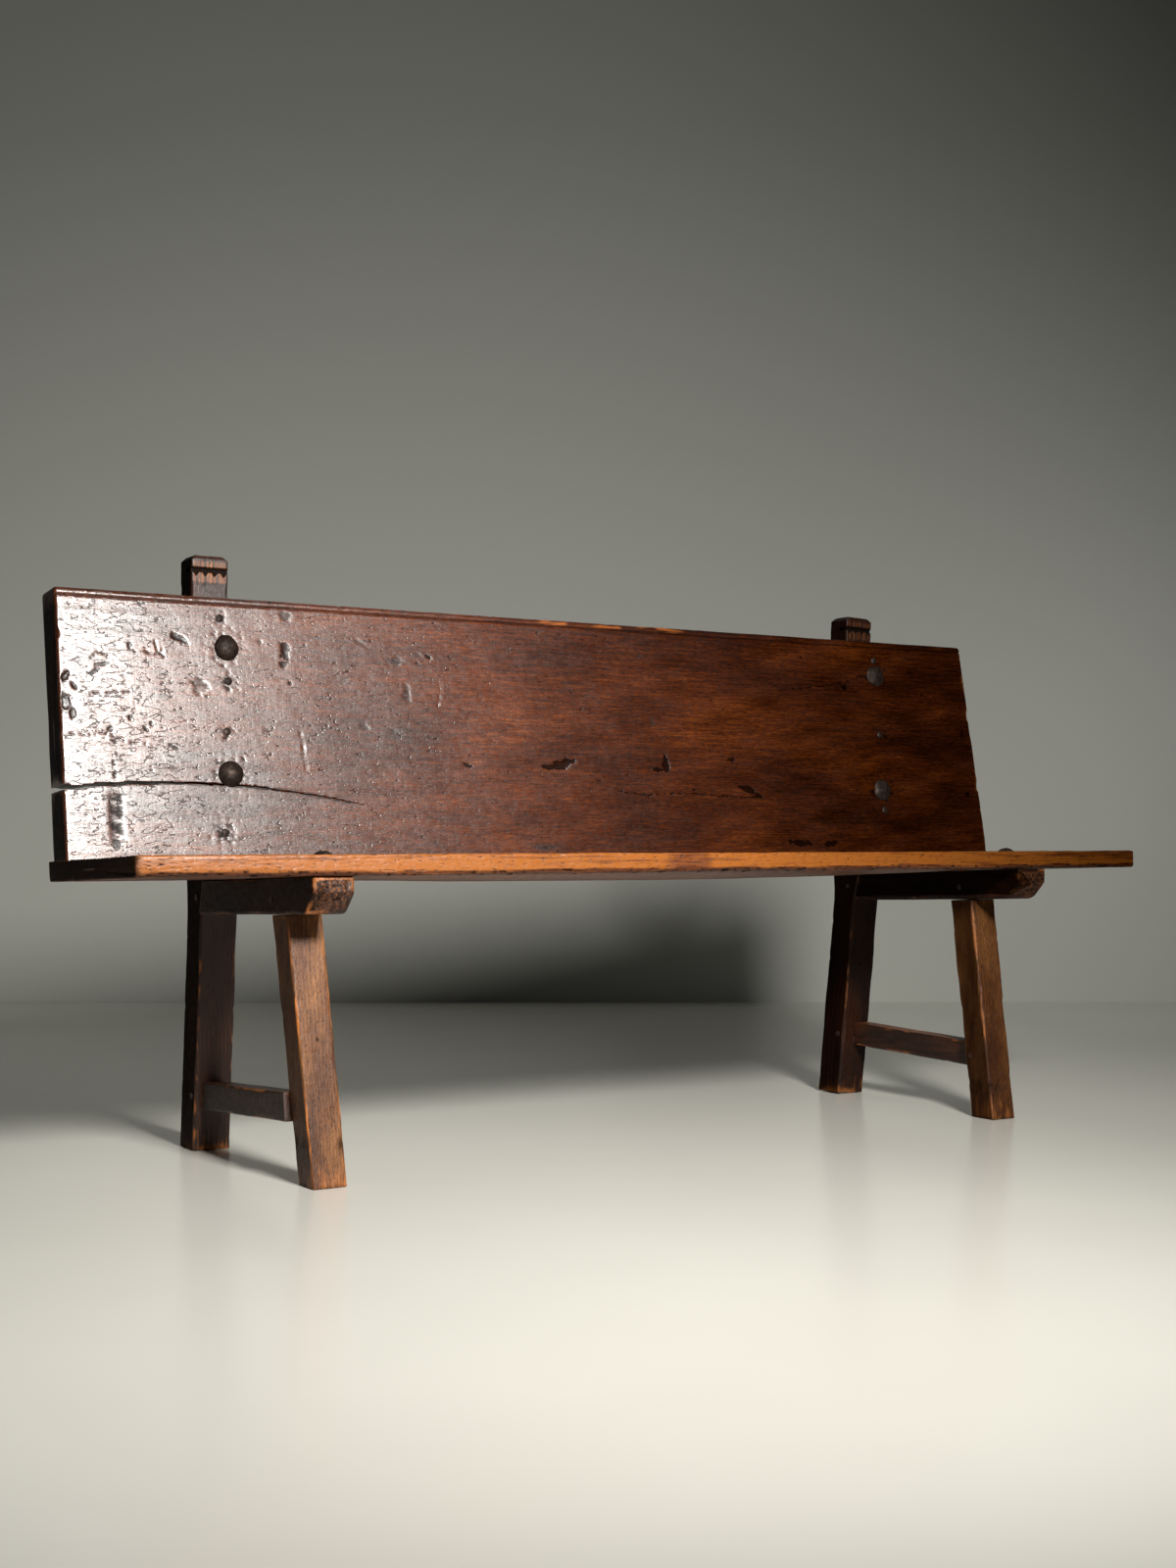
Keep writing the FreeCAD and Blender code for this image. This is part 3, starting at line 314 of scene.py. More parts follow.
def timber(name, nodes, material, spec, place, relief):
    # a worked timber. Its rings run over shares t of the length: inset rings round each end off, then
    # rings shrink to a pole on the end grain. place(t, u, v) puts ring points into the bench's frame,
    # relief(info) gives the depth taken off at each point and the wear, dirt and painted shade that lie there
    t = np.asarray(spec["stations"], float)
    r = spec["endRound"]
    length = spec["length"]
    swing = np.linspace(0, np.pi / 2, 5)
    lead = r * (1 - np.sin(swing)) / length
    inset = r * (1 - np.cos(swing))
    t = t[(t > lead[0] * 1.3) & (t < 1 - lead[0] * 1.3)]
    run = np.concatenate([lead[::-1], t, 1 - lead])
    sunk = np.concatenate([inset[::-1], np.zeros(len(t)), inset])
    halfU = spec["halfU"](run) - sunk
    halfV = spec["halfV"](run) - sunk
    radii = np.maximum(spec["radii"](run) - sunk[:, None], 0.0004)
    u, v, gap, facing = ringPoints(halfU, halfV, radii, spec["sides"])
    shrink = np.linspace(1, 0, spec["capRings"] + 1)[1:-1]
    capA = [(run[0], u[0] * f, v[0] * f) for f in shrink[::-1]]
    capB = [(run[-1], u[-1] * f, v[-1] * f) for f in shrink]
    u = np.vstack([c[1][None] for c in capA] + [u] + [c[1][None] for c in capB])
    v = np.vstack([c[2][None] for c in capA] + [v] + [c[2][None] for c in capB])
    pad = np.full((len(shrink), gap.shape[1]), 0.02)
    gap = np.vstack([pad, gap, pad])
    run = np.concatenate([[run[0]] * len(shrink), run, [run[-1]] * len(shrink)])
    onEnd = np.concatenate([np.ones(len(shrink)), np.zeros(len(run) - 2 * len(shrink)), np.ones(len(shrink))])
    points = place(run[:, None] + 0 * u, u, v)
    poles = place(np.array([[run[0]], [run[-1]]]), np.zeros((2, 1)), np.zeros((2, 1)))[:, 0]
    around = np.roll(points, -1, axis=1) - np.roll(points, 1, axis=1)
    forward = np.gradient(points, axis=0)
    normal = np.cross(around, forward)
    normal /= np.maximum(np.linalg.norm(normal, axis=-1, keepdims=True), 1e-12)
    middle = points.mean(axis=1, keepdims=True)
    body = onEnd == 0
    if np.einsum("ijk,ijk->ij", normal[body], (points - middle)[body]).mean() < 0:
        normal = -normal
    edgeOnEnd = np.minimum(run, 1 - run)[:, None] * length + 0 * u
    info = {
        "points": points, "t": run[:, None] + 0 * u, "u": u, "v": v, "gap": gap,
        "facing": facing[None, :] + 0 * u, "onEnd": onEnd[:, None] + 0 * u, "fromEnd": edgeOnEnd,
    }
    depth, values = relief(info)
    points = points - normal * depth[..., None]
    mesh = meshFromRings(name, points, poles[0], poles[1], values)
    mesh.materials.append(material)
    piece = bpy.data.objects.new(name, mesh)
    bpy.context.scene.collection.objects.link(piece)
    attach(piece, "root")
    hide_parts(*nodes)
    print(name, len(mesh.polygons), "faces")
    return piece


def handWorn(info, seed, rough=0.0006, chip=0.0012, wearWide=0.004, wearBase=0.2):
    # common relief: depth is rough x (0.6 + 0.3 slow + 0.1 quick), plus chips where the bite ripple passes
    # 1.1 on an arris; wear falls off from the arris as exp(-(gap / wearWide)^2)
    p = info["points"].reshape(-1, 3)
    shape = info["u"].shape
    slow = ripples(p, 0.16, seed).reshape(shape)
    quick = ripples(p, 0.035, seed + 1).reshape(shape)
    bite = ripples(p, 0.03, seed + 2).reshape(shape)
    run = ripples(p, 0.12, seed + 3).reshape(shape)
    nearCorner = np.exp(-(info["gap"] / 0.003) ** 2)
    nearEnd = np.exp(-(info["fromEnd"] / 0.006) ** 2) * (1 - info["onEnd"])
    arris = np.maximum(nearCorner, nearEnd)
    depth = rough * (0.6 + 0.3 * np.clip(slow, -2, 2) + 0.1 * np.clip(quick, -2, 2))
    depth = depth + chip * arris * np.clip(bite - 1.1, 0, 1) + chip * 0.35 * arris * np.clip(run, 0, 2)
    wear = np.exp(-(info["gap"] / wearWide) ** 2) * np.clip(wearBase + 0.35 * run + 0.25 * bite, 0, 1)
    wear = np.maximum(wear, nearEnd * np.clip(0.3 + 0.3 * bite, 0, 1))
    dirtAndShade = np.clip(0.1 * quick - 0.1, 0, 1)
    return np.maximum(depth, 0), wear * (1 - info["onEnd"] * 0.8), dirtAndShade


# wood


def woodFinish(name, spec):
    # old wood, hewn and planed by hand, then waxed and rubbed: a satin gloss that breaks at every mark.
    # Rings are the distance from a pith line that wanders, seen as broad figure on a plank's face and as
    # arcs on its end; fibres and pores are noise drawn out along the grain
    material, tree = newMaterial(name)
    spot = addNode(tree, "TexCoord")
    lie = addNode(
        tree, "Mapping", {"Location": spec["shift"], "Rotation": spec["turn"]}, {"Vector": spot.outputs["Object"]},
    )
    grain = lie.outputs[0]

    def stretched(sizes, detail, roughness=0.55, offset=0.0):
        # noise whose grains measure sizes (metres) along and across the grain
        scaled = addNode(
            tree, "VectorMath", {"operation": "MULTIPLY_ADD", 1: [1 / s for s in sizes], 2: (offset, offset, offset)},
            {0: grain},
        )
        return addNode(
            tree, "TexNoise", {"Scale": 1.0, "Detail": detail, "Roughness": roughness}, {"Vector": scaled.outputs[0]},
        )

    wander = stretched((0.55, 0.16, 0.16), 2.0)
    swayed = addNode(
        tree, "VectorMath", {"operation": "MULTIPLY_ADD", 1: (0, spec["wander"], spec["wander"])},
        {0: wander.outputs["Color"], 2: grain},
    )
    fromPith = addNode(tree, "VectorMath", {"operation": "MULTIPLY", 1: (0, 1, 1)}, {0: swayed.outputs[0]})
    radius = addNode(tree, "VectorMath", {"operation": "LENGTH"}, {0: fromPith.outputs[0]})
    turnsOut = addNode(
        tree, "Math", {"operation": "MULTIPLY", 1: 2 * math.pi / spec["ring"]}, {0: radius.outputs["Value"]},
    )
    wave = addNode(tree, "Math", {"operation": "SINE"}, {0: turnsOut.outputs[0]})
    band = addNode(tree, "MapRange", {"From Min": -1.0, "From Max": 1.0}, {"Value": wave.outputs[0]})

    fibre = stretched(spec["fibre"], 3.0, offset=3.1)
    fine = stretched((0.012, 0.0013, 0.0013), 2.0, offset=7.7)
    patch = stretched(spec["patch"], 3.0, offset=12.3)
    tone = addNode(tree, "Math", {"operation": "MULTIPLY", 1: spec["bandShare"]}, {0: band.outputs[0]})
    for share, noise in (("fibreShare", fibre), ("fineShare", fine), ("patchShare", patch)):
        tone = addNode(
            tree, "Math", {"operation": "MULTIPLY_ADD", 1: spec[share]},
            {0: noise.outputs["Fac"], 2: tone.outputs[0]},
        )
    total = (spec["bandShare"] + spec["fibreShare"] + spec["fineShare"] + spec["patchShare"]) / 2
    spread = addNode(
        tree, "MapRange", {"From Min": total - spec["contrast"], "From Max": total + spec["contrast"]},
        {"Value": tone.outputs[0]},
    )
    colour = rampStops(
        addNode(tree, "ValToRGB", links={"Fac": spread.outputs[0]}),
        [(place, linear(c)) for place, c in spec["colours"]],
    )

    # open pores and dark flecks, a few millimetres long
    pore = stretched((0.011, 0.0017, 0.0017), 1.0, offset=21.0)
    porePick = addNode(tree, "MapRange", {"From Min": 0.60, "From Max": 0.70}, {"Value": pore.outputs["Fac"]})
    poreShare = addNode(tree, "Math", {"operation": "MULTIPLY", 1: spec["poreShare"]}, {0: porePick.outputs[0]})
    body = addNode(
        tree, "Mix", {"data_type": "RGBA", "blend_type": "MIX", 7: linear(spec["poreColour"])},
        {0: poreShare.outputs[0], 6: colour.outputs["Color"]},
    )

    # paler wood where hands and feet have worn the arrises, broken up by the grain
    wearMark = addNode(tree, "Attribute", {"attribute_name": "wear"})
    broken = addNode(tree, "Math", {"operation": "MULTIPLY_ADD", 1: 1.1, 2: -0.55}, {0: fibre.outputs["Fac"]})
    wearSum = addNode(
        tree, "Math", {"operation": "ADD", "use_clamp": True}, {0: wearMark.outputs["Fac"], 1: broken.outputs[0]},
    )
    wearPick = addNode(
        tree, "MapRange", {"From Min": 0.15, "From Max": 0.75, "To Max": spec["wearShare"]},
        {"Value": wearSum.outputs[0]},
    )
    gate = addNode(tree, "Math", {"operation": "GREATER_THAN", 1: 0.02}, {0: wearMark.outputs["Fac"]})
    wearFac = addNode(tree, "Math", {"operation": "MULTIPLY"}, {0: wearPick.outputs[0], 1: gate.outputs[0]})
    worn = addNode(
        tree, "Mix", {"data_type": "RGBA", "blend_type": "MIX", 7: linear(spec["wearColour"])},
        {0: wearFac.outputs[0], 6: body.outputs[2]},
    )

    # grime in hollows, cracks and round nails; the same mark also carries painted shade: in the bead's groove, on end
    # faces and on the seat's lower wane
    dirtAndShadeMark = addNode(tree, "Attribute", {"attribute_name": "dirtAndShade"})
    mottle = stretched((0.010, 0.006, 0.006), 3.0, offset=31.0)
    dirtAndShadeEdge = addNode(tree, "Math", {"operation": "MULTIPLY_ADD", 1: 0.8, 2: -0.4}, {0: mottle.outputs["Fac"]})
    dirtAndShadeSum = addNode(
        tree, "Math", {"operation": "ADD", "use_clamp": True}, {0: dirtAndShadeMark.outputs["Fac"], 1: dirtAndShadeEdge.outputs[0]},
    )
    dirtAndShadePick = addNode(
        tree, "MapRange", {"From Min": 0.2, "From Max": 0.75, "To Max": 0.92}, {"Value": dirtAndShadeSum.outputs[0]},
    )
    soiledAndShaded = addNode(
        tree, "Mix", {"data_type": "RGBA", "blend_type": "MIX", 7: linear(spec["dirtAndShadeColour"])},
        {0: dirtAndShadePick.outputs[0], 6: worn.outputs[2]},
    )

    # gouges and cracks: a crisp, ragged outline at one half of the mark
    gougeMark = addNode(tree, "Attribute", {"attribute_name": "gouge"})
    ragged = stretched((0.0045, 0.0026, 0.0026), 3.0, 0.7, offset=61.0)
    gougeSum = addNode(tree, "Math", {"operation": "MULTIPLY_ADD", 1: 0.9, 2: -0.47}, {0: ragged.outputs["Fac"]})
    gougeSum = addNode(tree, "Math", {"operation": "ADD"}, {0: gougeSum.outputs[0], 1: gougeMark.outputs["Fac"]})
    gougePick = addNode(
        tree, "MapRange", {"From Min": 0.44, "From Max": 0.62, "To Max": 0.86}, {"Value": gougeSum.outputs[0]},
    )
    gouged = addNode(
        tree, "Mix", {"data_type": "RGBA", "blend_type": "MIX", 7: linear(spec["dirtAndShadeColour"])},
        {0: gougePick.outputs[0], 6: soiledAndShaded.outputs[2]},
    )

    # hairline scores: where a noise crosses its middle value, let through by a second noise and the scuffs
    bend = stretched((0.026, 0.011, 0.011), 1.5, offset=71.0)
    off = addNode(tree, "Math", {"operation": "SUBTRACT", 1: 0.5}, {0: bend.outputs["Fac"]})
    off = addNode(tree, "Math", {"operation": "ABSOLUTE"}, {0: off.outputs[0]})
    thin = addNode(
        tree, "MapRange", {"From Min": 0.012, "From Max": 0.026, "To Min": 1.0, "To Max": 0.0},
        {"Value": off.outputs[0]},
    )
    scuffMark = addNode(tree, "Attribute", {"attribute_name": "scuff"})
    allow = stretched((0.014, 0.011, 0.011), 2.0, offset=81.0)
    allow = addNode(
        tree, "Math", {"operation": "MULTIPLY_ADD", 1: 0.22}, {0: scuffMark.outputs["Fac"], 2: allow.outputs["Fac"]},
    )
    allow = addNode(tree, "MapRange", {"From Min": 0.63, "From Max": 0.70}, {"Value": allow.outputs[0]})
    score = addNode(tree, "Math", {"operation": "MULTIPLY"}, {0: thin.outputs[0], 1: allow.outputs[0]})
    scoreShare = addNode(tree, "Math", {"operation": "MULTIPLY", 1: 0.75}, {0: score.outputs[0]})
    gouged = addNode(
        tree, "Mix", {"data_type": "RGBA", "blend_type": "MIX", 7: linear(spec["dirtAndShadeColour"])},
        {0: scoreShare.outputs[0], 6: gouged.outputs[2]},
    )

    # painted shade: the colour is mixed towards black where a point attribute says, standing in for light that falls
    # off towards the right and for faces and parts in shade
    paintedShadeMark = addNode(tree, "Attribute", {"attribute_name": "paintedShade"})
    shaded = addNode(
        tree, "Mix", {"data_type": "RGBA", "blend_type": "MIX", 7: (0.0, 0.0, 0.0, 1.0)},
        {0: paintedShadeMark.outputs["Fac"], 6: gouged.outputs[2]},
    )

    # height: open grain, pores, and knocks and scratches from use
    knock = stretched((0.012, 0.009, 0.009), 4.0, 0.6, offset=41.0)
    scratch = stretched((0.004, 0.022, 0.022), 2.0, 0.5, offset=51.0)
    height = addNode(tree, "Math", {"operation": "MULTIPLY", 1: spec["grainHigh"]}, {0: fibre.outputs["Fac"]})
    for share, source in (
        (-0.45, porePick.outputs[0]),
        (spec["knockShare"], knock.outputs["Fac"]),
        (0.25, scratch.outputs["Fac"]),
        (-0.8, dirtAndShadePick.outputs[0]),
        (-1.2, gougePick.outputs[0]),
        (-0.7, score.outputs[0]),
        (spec["weave"], fine.outputs["Fac"]),
    ):
        height = addNode(
            tree, "Math", {"operation": "MULTIPLY_ADD", 1: share}, {0: source, 2: height.outputs[0]},
        )
    bump = addNode(tree, "Bump", {"Strength": spec["bump"], "Distance": 0.0012}, {"Height": height.outputs[0]})

    gloss = addNode(
        tree, "MapRange", {"From Min": 0.3, "From Max": 0.7, "To Min": spec["rough"][0], "To Max": spec["rough"][1]},
        {"Value": knock.outputs["Fac"]},
    )
    dull = addNode(
        tree, "Math", {"operation": "MULTIPLY_ADD", 1: 0.35, "use_clamp": True},
        {0: dirtAndShadePick.outputs[0], 2: gloss.outputs[0]},
    )
    foul = addNode(tree, "Math", {"operation": "MAXIMUM"}, {0: dirtAndShadePick.outputs[0], 1: gougePick.outputs[0]})
    foul = addNode(tree, "Math", {"operation": "MAXIMUM"}, {0: foul.outputs[0], 1: scoreShare.outputs[0]})
    clean = addNode(tree, "MapRange", {"To Min": 1.0, "To Max": 0.15}, {"Value": foul.outputs[0]})
    # the same painted shade dulls the gloss too
    lit = addNode(
        tree, "MapRange", {"From Max": 0.7, "To Min": 1.0, "To Max": 0.05}, {"Value": paintedShadeMark.outputs["Fac"]},
    )
    polish = addNode(tree, "Math", {"operation": "MULTIPLY"}, {0: clean.outputs[0], 1: lit.outputs[0]})
    shine = addNode(tree, "Math", {"operation": "MULTIPLY", 1: spec["specular"]}, {0: polish.outputs[0]})
    wax = addNode(tree, "Math", {"operation": "MULTIPLY", 1: spec["wax"]}, {0: polish.outputs[0]})
    skin = addNode(
        tree, "BsdfPrincipled", {"IOR": 1.5, "Coat Roughness": spec["waxRough"], "Coat IOR": 1.45},
        {
            "Base Color": shaded.outputs[2], "Roughness": dull.outputs[0], "Normal": bump.outputs[0],
            "Specular IOR Level": shine.outputs[0], "Coat Weight": wax.outputs[0], "Coat Normal": bump.outputs[0],
        },
    )
    addNode(tree, "OutputMaterial", links={"Surface": skin.outputs[0]})
    return material


lean = 8.5  # degrees that the back plank leans
rake = 1.85  # degrees that the seat rises to the front

backFinish = {
    "shift": (0.0, 0.07, -0.62), "turn": (0.0, 0.0, 0.0), "ring": 0.0075, "wander": 0.07, "patch": (0.30, 0.10, 0.10),
    "bandShare": 0.04, "fibreShare": 0.45, "fineShare": 0.45, "patchShare": 0.42, "contrast": 0.24,
    "colours": [(0.0, "#180702"), (0.35, "#331304"), (0.65, "#532307"), (1.0, "#7e3f0e")],
    "poreColour": "#120502", "poreShare": 0.6, "wearColour": "#b0642a", "wearShare": 0.85,
    "dirtAndShadeColour": "#0c0402", "knockShare": 0.5, "bump": 0.30, "rough": (0.28, 0.38), "specular": 0.9,
    "fibre": (0.05, 0.0016, 0.0016), "grainHigh": 0.20, "wax": 0.65, "waxRough": 0.28, "weave": 0.35,
}
seatFinish = {
    "shift": (0.3, 0.02, -0.36), "turn": (0.0, 0.0, 0.0), "ring": 0.0075, "wander": 0.08, "patch": (0.22, 0.08, 0.08),
    "bandShare": 0.15, "fibreShare": 0.45, "fineShare": 0.35, "patchShare": 0.55, "contrast": 0.32,
    "colours": [(0.0, "#301206"), (0.35, "#50240c"), (0.65, "#6c3816"), (1.0, "#8a5024")],
    "poreColour": "#200c04", "poreShare": 0.6, "wearColour": "#8c4f17", "wearShare": 0.95,
    "dirtAndShadeColour": "#140904", "knockShare": 0.6, "bump": 0.40, "rough": (0.32, 0.48), "specular": 0.6,
    "fibre": (0.07, 0.0028, 0.0028), "grainHigh": 0.30, "wax": 0.0, "waxRough": 0.3, "weave": 0.2,
}
postFinish = {
    "shift": (0.05, 0.09, 0.03), "turn": (0.0, math.pi / 2, 0.0), "ring": 0.005, "wander": 0.06,
    "patch": (0.20, 0.05, 0.05),
    "bandShare": 0.10, "fibreShare": 0.40, "fineShare": 0.35, "patchShare": 0.8, "contrast": 0.32,
    "colours": [(0.0, "#100502"), (0.35, "#220e05"), (0.65, "#361a0b"), (1.0, "#502a13")],
    "poreColour": "#160b07", "poreShare": 0.6, "wearColour": "#b06a34", "wearShare": 0.8,
    "dirtAndShadeColour": "#0e0906", "knockShare": 0.6, "bump": 0.5, "rough": (0.40, 0.58), "specular": 0.4,
    "fibre": (0.09, 0.0034, 0.0034), "grainHigh": 0.30, "wax": 0.0, "waxRough": 0.3, "weave": 0.2,
}
railFinish = dict(postFinish, turn=(0.0, 0.0, math.pi / 2), shift=(0.02, 0.11, -0.3))
legFinish = dict(
    postFinish, shift=(0.02, 0.16, 0.05),
    colours=[(0.0, "#2a1408"), (0.35, "#4a2812"), (0.65, "#67401f"), (1.0, "#8a5b32")],
)
pegFinish = dict(postFinish, turn=(0.0, 0.0, 0.0), ring=0.002)

backWood = woodFinish("waxedWalnutBack", backFinish)
seatWood = woodFinish("wornChestnutSeat", seatFinish)
postWood = woodFinish("oldOakPosts", postFinish)
railWood = woodFinish("oldOakRails", railFinish)
print("wood finishes made")

# the back board


def constant(value):
    # a measure that is the same at every share of the length
    return lambda t: np.full(len(t), float(value))


def slope(angle):
    # sine and cosine of an angle in degrees
    return math.sin(math.radians(angle)), math.cos(math.radians(angle))


backSpec = {
    "long": 1.796, "shift": 0.0115, "high": 0.434, "thick": 0.054, "shortCorner": 0.020, "skew": 4.2,
    "foot": (0.1583, 0.41916), "bead": 0.422, "topRound": 0.007, "endRound": 0.004, "capRings": 7,
    "steps": [(-0.70, 0.0018), (-0.25, 0.0031), (0.92, 0.0058)],
}

# knocks in the plank, as the photo has them: (along from the bench's middle, up the plank, half length,
# half height, depth, turn in degrees), in metres
backKnocks = [
    (-0.697, 0.365, 0.0140, 0.0055, 0.0026, -25), (-0.774, 0.348, 0.0038, 0.0053, 0.0020, 0),
    (-0.815, 0.319, 0.0134, 0.0033, 0.0016, 12), (-0.827, 0.308, 0.0103, 0.0030, 0.0015, 30),
    (-0.873, 0.298, 0.0058, 0.0088, 0.0042, -30), (-0.859, 0.283, 0.0087, 0.0037, 0.0030, -45),
    (-0.872, 0.260, 0.0072, 0.0132, 0.0036, 0), (-0.864, 0.242, 0.0058, 0.0088, 0.0030, 0),
    (-0.808, 0.221, 0.0059, 0.0037, 0.0020, 0), (-0.778, 0.238, 0.0033, 0.0045, 0.0020, 0),
    (-0.754, 0.222, 0.0030, 0.0067, 0.0018, 50), (-0.745, 0.231, 0.0030, 0.0037, 0.0016, 0),
    (-0.802, 0.202, 0.0044, 0.0037, 0.0014, -20), (-0.806, 0.171, 0.0024, 0.0044, 0.0016, 0),
    (-0.805, 0.152, 0.0035, 0.0044, 0.0018, 0), (-0.666, 0.292, 0.0125, 0.0137, 0.0011, 0),
    (-0.519, 0.409, 0.0099, 0.0095, 0.0010, 0), (-0.710, 0.195, 0.0092, 0.0024, 0.0012, -15),
    (-0.715, 0.162, 0.0138, 0.0030, 0.0011, -5), (-0.525, 0.354, 0.0066, 0.0142, 0.0022, 0),
    (-0.527, 0.332, 0.0066, 0.0063, 0.0012, 0), (-0.519, 0.302, 0.0041, 0.0047, 0.0014, 0),
    (-0.562, 0.225, 0.0081, 0.0031, 0.0009, -15), (-0.565, 0.366, 0.0049, 0.0047, 0.0009, 0),
    (-0.396, 0.375, 0.0103, 0.0032, 0.0010, -25), (-0.333, 0.346, 0.0123, 0.0081, 0.0011, 20),
    (-0.275, 0.357, 0.0090, 0.0036, 0.0016, -25), (-0.293, 0.361, 0.0053, 0.0033, 0.0010, 0),
    (-0.317, 0.293, 0.0071, 0.0146, 0.0010, 0), (-0.396, 0.236, 0.0086, 0.0064, 0.0010, -20),
    (-0.343, 0.230, 0.0122, 0.0032, 0.0008, 0), (-0.214, 0.178, 0.0109, 0.0036, 0.0012, -10),
    (-0.034, 0.183, 0.0232, 0.0084, 0.0026, 14), (-0.061, 0.178, 0.0153, 0.0050, 0.0015, 0),
    (0.177, 0.186, 0.0082, 0.0156, 0.0020, 0), (0.160, 0.178, 0.0164, 0.0038, 0.0012, 0),
    (0.141, 0.379, 0.0144, 0.0035, 0.0007, 20), (0.154, 0.261, 0.0062, 0.0087, 0.0009, 0),
    (0.350, 0.146, 0.0196, 0.0064, 0.0020, -14), (0.371, 0.134, 0.0087, 0.0045, 0.0014, 0),
    (0.317, 0.199, 0.0108, 0.0043, 0.0012, 0), (0.456, 0.049, 0.0224, 0.0061, 0.0014, -8),
    (0.526, 0.047, 0.0160, 0.0054, 0.0014, 10), (0.593, 0.342, 0.0071, 0.0056, 0.0012, 0),
    (0.872, 0.261, 0.0036, 0.0110, 0.0012, 0), (0.872, 0.142, 0.0060, 0.0060, 0.0012, 0),
    (0.760, 0.374, 0.0049, 0.0096, 0.0009, 0), (-0.077, 0.043, 0.0304, 0.0066, 0.0010, 0),
    (0.209, 0.091, 0.0104, 0.0035, 0.0008, 0),
]
# cracks: runs of (along, up) points and a half width
backCracks = [
    ([(-0.836, 0.273), (-0.807, 0.277), (-0.776, 0.277)], 0.0011),
    ([(-0.880, 0.211), (-0.842, 0.212), (-0.811, 0.216)], 0.0011),
    ([(-0.808, 0.212), (-0.784, 0.202), (-0.755, 0.201)], 0.0011),
    ([(-0.734, 0.356), (-0.730, 0.342), (-0.720, 0.335)], 0.0013),
    ([(-0.750, 0.341), (-0.735, 0.337), (-0.722, 0.345)], 0.0013),
    ([(-0.834, 0.326), (-0.822, 0.337), (-0.807, 0.333)], 0.0012),
    ([(-0.506, 0.225), (-0.502, 0.195), (-0.500, 0.165)], 0.0010),
    ([(-0.257, 0.322), (-0.256, 0.300), (-0.262, 0.273)], 0.0009),
    ([(0.074, 0.138), (0.141, 0.133), (0.214, 0.138), (0.297, 0.133), (0.372, 0.131)], 0.0015),
    ([(0.462, 0.333), (0.554, 0.344), (0.599, 0.352), (0.624, 0.362), (0.653, 0.366)], 0.0016),
    ([(0.588, 0.146), (0.621, 0.146), (0.642, 0.145)], 0.0010),
    ([(0.265, 0.224), (0.350, 0.219), (0.437, 0.214)], 0.0008),
]
# where the nails stand: (along, up, radius of the stain round them)
backNails = [
    (-0.6205, 0.3535, 0.027), (-0.6239, 0.1565, 0.027), (0.6695, 0.3665, 0.029), (0.6605, 0.149, 0.031),
    (-0.6290, 0.3995, 0.014), (-0.6205, 0.301, 0.018), (-0.6270, 0.222, 0.013), (-0.6385, 0.066, 0.020),
    (0.6695, 0.396, 0.010), (0.6670, 0.2535, 0.018), (0.6615, 0.1105, 0.014),
]


def segmentGap(x, y, run):
    # the shortest distance from each point to a broken line through run's points
    best = np.full(x.shape, 1.0)
    for (ax, ay), (bx, by) in zip(run[:-1], run[1:]):
        share = np.clip(((x - ax) * (bx - ax) + (y - ay) * (by - ay)) / ((bx - ax) ** 2 + (by - ay) ** 2), 0, 1)
        best = np.minimum(best, np.hypot(x - ax - share * (bx - ax), y - ay - share * (by - ay)))
    return best


def arcThrough(a, b, c, count):
    # count points on the circle through a, b and c, from a to c
    (ax, ay), (bx, by), (cx, cy) = a, b, c
    d = 2 * (ax * (by - cy) + bx * (cy - ay) + cx * (ay - by))
    ux = ((ax * ax + ay * ay) * (by - cy) + (bx * bx + by * by) * (cy - ay) + (cx * cx + cy * cy) * (ay - by)) / d
    uy = ((ax * ax + ay * ay) * (cx - bx) + (bx * bx + by * by) * (ax - cx) + (cx * cx + cy * cy) * (bx - ax)) / d
    first = math.atan2(ay - uy, ax - ux)
    final = math.atan2(cy - uy, cx - ux)
    radius = math.hypot(ax - ux, ay - uy)
    angle = np.linspace(first, final, count)
    return np.stack([ux + radius * np.cos(angle), uy + radius * np.sin(angle)], axis=1)


def onBack(x, up, out):
    # plank coordinates (along, up the plank, out from its rear face) to the bench's frame
    s, c = slope(lean)
    footY, footZ = backSpec["foot"]
    return np.stack([x, footY + up * s - out * c, footZ + up * c + out * s], axis=-1)


def backPlace(t, u, v):
    # the plank is ruled between a skewed left end and a right end cut short towards the top
    b = backSpec
    up = v + b["high"] / 2
    out = u + b["thick"] / 2
    left = b["shift"] - b["long"] / 2 + out * math.tan(math.radians(b["skew"]))
    right = b["shift"] + b["long"] / 2 - b["shortCorner"] * up / b["high"]
    return onBack(left + (right - left) * t, up, out)


splitLine = [(-0.8965, 0.1285), (-0.6835, 0.141), (-0.4035, 0.110)]


